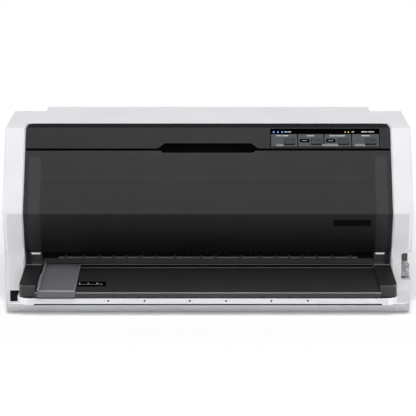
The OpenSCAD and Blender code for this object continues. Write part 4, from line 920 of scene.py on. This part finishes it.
class CutBeltTeeth(bpy.types.Operator):
    """Cuts the teeth on the inside of both runs of the timing belt"""

    bl_idname = "printer.cut_belt_teeth"
    bl_label = "Cut the belt teeth"

    def execute(self, context):
        grown("timing_belt_teeth", row_tree(), [(-181.2, 28.1, 101.0), (-181.2, 43.9, 101.0)], "rubber",
              "printer", "roller_rubber", Count=152, Pitch=(2.4 * MM, 0.0, 0.0),
              Block=(1.3 * MM, 0.4 * MM, 5.2 * MM), Long_every=NEVER, Long_by=1.0)
        return {"FINISHED"}


class FitContacts(bpy.types.Operator):
    """Fits both rows of gilt contacts on the tongue of the large socket"""

    bl_idname = "printer.fit_contacts"
    bl_label = "Fit the socket contacts"

    def execute(self, context):
        grown("socket_contacts", row_tree(), [(233.5, -78.2, 35.7), (233.5, -78.2, 32.3)], "gold",
              "printer", "zinc_steel", Count=23, Pitch=(0.0, 2.29 * MM, 0.0),
              Block=(6.0 * MM, 1.1 * MM, 0.3 * MM),
              Long_every=NEVER, Long_by=1.0)
        return {"FINISHED"}


WHITE = (1, 1, 1, 1)
MIDDLE = Vector((0, 0, 0.1))  # what the lamps are aimed at
EYE = (0.0, -2.2914, 0.4581)  # the camera's place, in metres
EYE_TILT = math.radians(81.0)


def seen_ray(tree):
    """1 for the camera's rays and for those that gloss or glass sends on, 0 for the light's own."""
    path = add(tree, "ShaderNodeLightPath")
    seen = path.outputs["Is Camera Ray"]
    for kind in ("Is Glossy Ray", "Is Transmission Ray"):
        seen = add(tree, "ShaderNodeMath", {"operation": "MAXIMUM"}, _0=seen, _1=path.outputs[kind])
    return seen


class BuildStudio(bpy.types.Operator):
    """Sets the pale floor, the soft lamps, the world and the camera"""

    bl_idname = "printer.build_studio"
    bl_label = "Build the studio"

    def execute(self, context):
        scene = context.scene
        studio = scene.printer_studio
        scene.view_settings.view_transform = "Standard"

        mesh = bpy.data.meshes.new("studio_floor")
        reach = 12.0
        mesh.from_pydata([(-reach, -reach, 0), (reach, -reach, 0), (reach, reach, 0), (-reach, reach, 0)],
                         [], [(0, 1, 2, 3)])
        floor = bpy.data.objects.new("studio_floor", mesh)
        scene.collection.objects.link(floor)
        material, tree, shader, spot = new_material("studio_paper")
        seen = seen_ray(tree)
        # the paper lifts itself to white near the printer and is plain white from 0.8 m on
        lift = add(tree, "ShaderNodeMath", {"operation": "MULTIPLY", "1": 0.165}, _0=seen)
        join(tree, shader, {
            "Base Color": linear("#f6f6f6"), "Roughness": 1.0, "Specular IOR Level": 0.0,
            "Emission Color": WHITE}, Emission_Strength=lift)
        away = add(tree, "ShaderNodeVectorMath", {"operation": "LENGTH"}, _0=spot)
        far = add(tree, "ShaderNodeMapRange", {
            "interpolation_type": "SMOOTHSTEP", "From Min": 0.33, "From Max": 0.8}, Value=away)
        fade = add(tree, "ShaderNodeMath", {"operation": "MULTIPLY"}, _0=seen, _1=far)
        plain = add(tree, "ShaderNodeEmission", {"Color": WHITE, "Strength": 1.0})
        both = add(tree, "ShaderNodeMixShader", _0=fade, _1=shader, _2=plain)
        out = next(n for n in tree.nodes if n.type == "OUTPUT_MATERIAL")
        join(tree, out, Surface=both)
        mesh.materials.append(material)

        world = bpy.data.worlds.new("studio_world")
        scene.world = world
        world.use_nodes = True
        tree = world.node_tree
        tree.nodes.clear()
        white = add(tree, "ShaderNodeBackground", {"Color": WHITE, "Strength": 1.0})
        soft = add(tree, "ShaderNodeBackground", {"Color": linear("#f6f7fc"), "Strength": 0.35})
        pick = add(tree, "ShaderNodeMixShader", _0=seen_ray(tree), _1=soft, _2=white)
        add(tree, "ShaderNodeOutputWorld", Surface=pick)

        for name, place, size, power in (
            ("overhead", (0.0, -0.68, 2.19), 0.9, 1.0),
            ("front", (0.0, -3.33, 0.81), 1.6, 1.52),
            ("left_fill", (-2.0, -0.5, 1.0), 1.2, 0.25),
            ("right_fill", (2.0, -0.5, 1.0), 1.2, 0.25),
        ):
            lamp = bpy.data.lights.new(name, "AREA")
            lamp.shape = "SQUARE"
            lamp.size = size
            lamp.energy = studio.key_power * power
            obj = bpy.data.objects.new(name, lamp)
            obj.location = place
            obj.rotation_euler = (MIDDLE - Vector(place)).to_track_quat("-Z", "Y").to_euler()
            obj.visible_glossy = name != "front"
            scene.collection.objects.link(obj)

        camera = bpy.data.cameras.new("photo_camera")
        camera.sensor_width = SENSOR
        camera.lens = studio.lens
        eye = bpy.data.objects.new("photo_camera", camera)
        eye.location = EYE
        eye.rotation_euler = (EYE_TILT, 0.0, 0.0)
        scene.collection.objects.link(eye)
        scene.camera = eye
        return {"FINISHED"}


class PRINTER_PT_dressing(bpy.types.Panel):
    """Lists the dressing steps in the 3D view's sidebar"""

    bl_label = "Printer"
    bl_idname = "PRINTER_PT_dressing"
    bl_space_type = "VIEW_3D"
    bl_region_type = "UI"
    bl_category = "Printer"

    def draw(self, context):
        for group in (context.scene.printer_sizes, context.scene.printer_studio):
            for name in group.bl_rna.properties.keys():
                if name not in ("rna_type", "name"):
                    self.layout.prop(group, name)
        for step in STEPS:
            self.layout.operator(step.bl_idname)


STEPS = (DressFrame, DressCases, DressTrim, DressMechanism, PrintPanel, FixBadge, StickTableLabel,
         DriveScrews, CutBeltTeeth, FitContacts, BuildStudio)
GROUPS = (PrinterSizes, PrinterStudio)


def register():
    for cls in GROUPS + STEPS + (PRINTER_PT_dressing,):
        bpy.utils.register_class(cls)
    bpy.types.Scene.printer_sizes = bpy.props.PointerProperty(type=PrinterSizes)
    bpy.types.Scene.printer_studio = bpy.props.PointerProperty(type=PrinterStudio)


def unregister():
    del bpy.types.Scene.printer_studio
    del bpy.types.Scene.printer_sizes
    for cls in reversed(GROUPS + STEPS + (PRINTER_PT_dressing,)):
        bpy.utils.unregister_class(cls)


FINISHES = {}


def main():
    register()
    FINISHES.update(make_finishes())
    for step in STEPS:
        group, name = step.bl_idname.split(".")
        getattr(getattr(bpy.ops, group), name)()


if __name__ == "__main__":
    main()
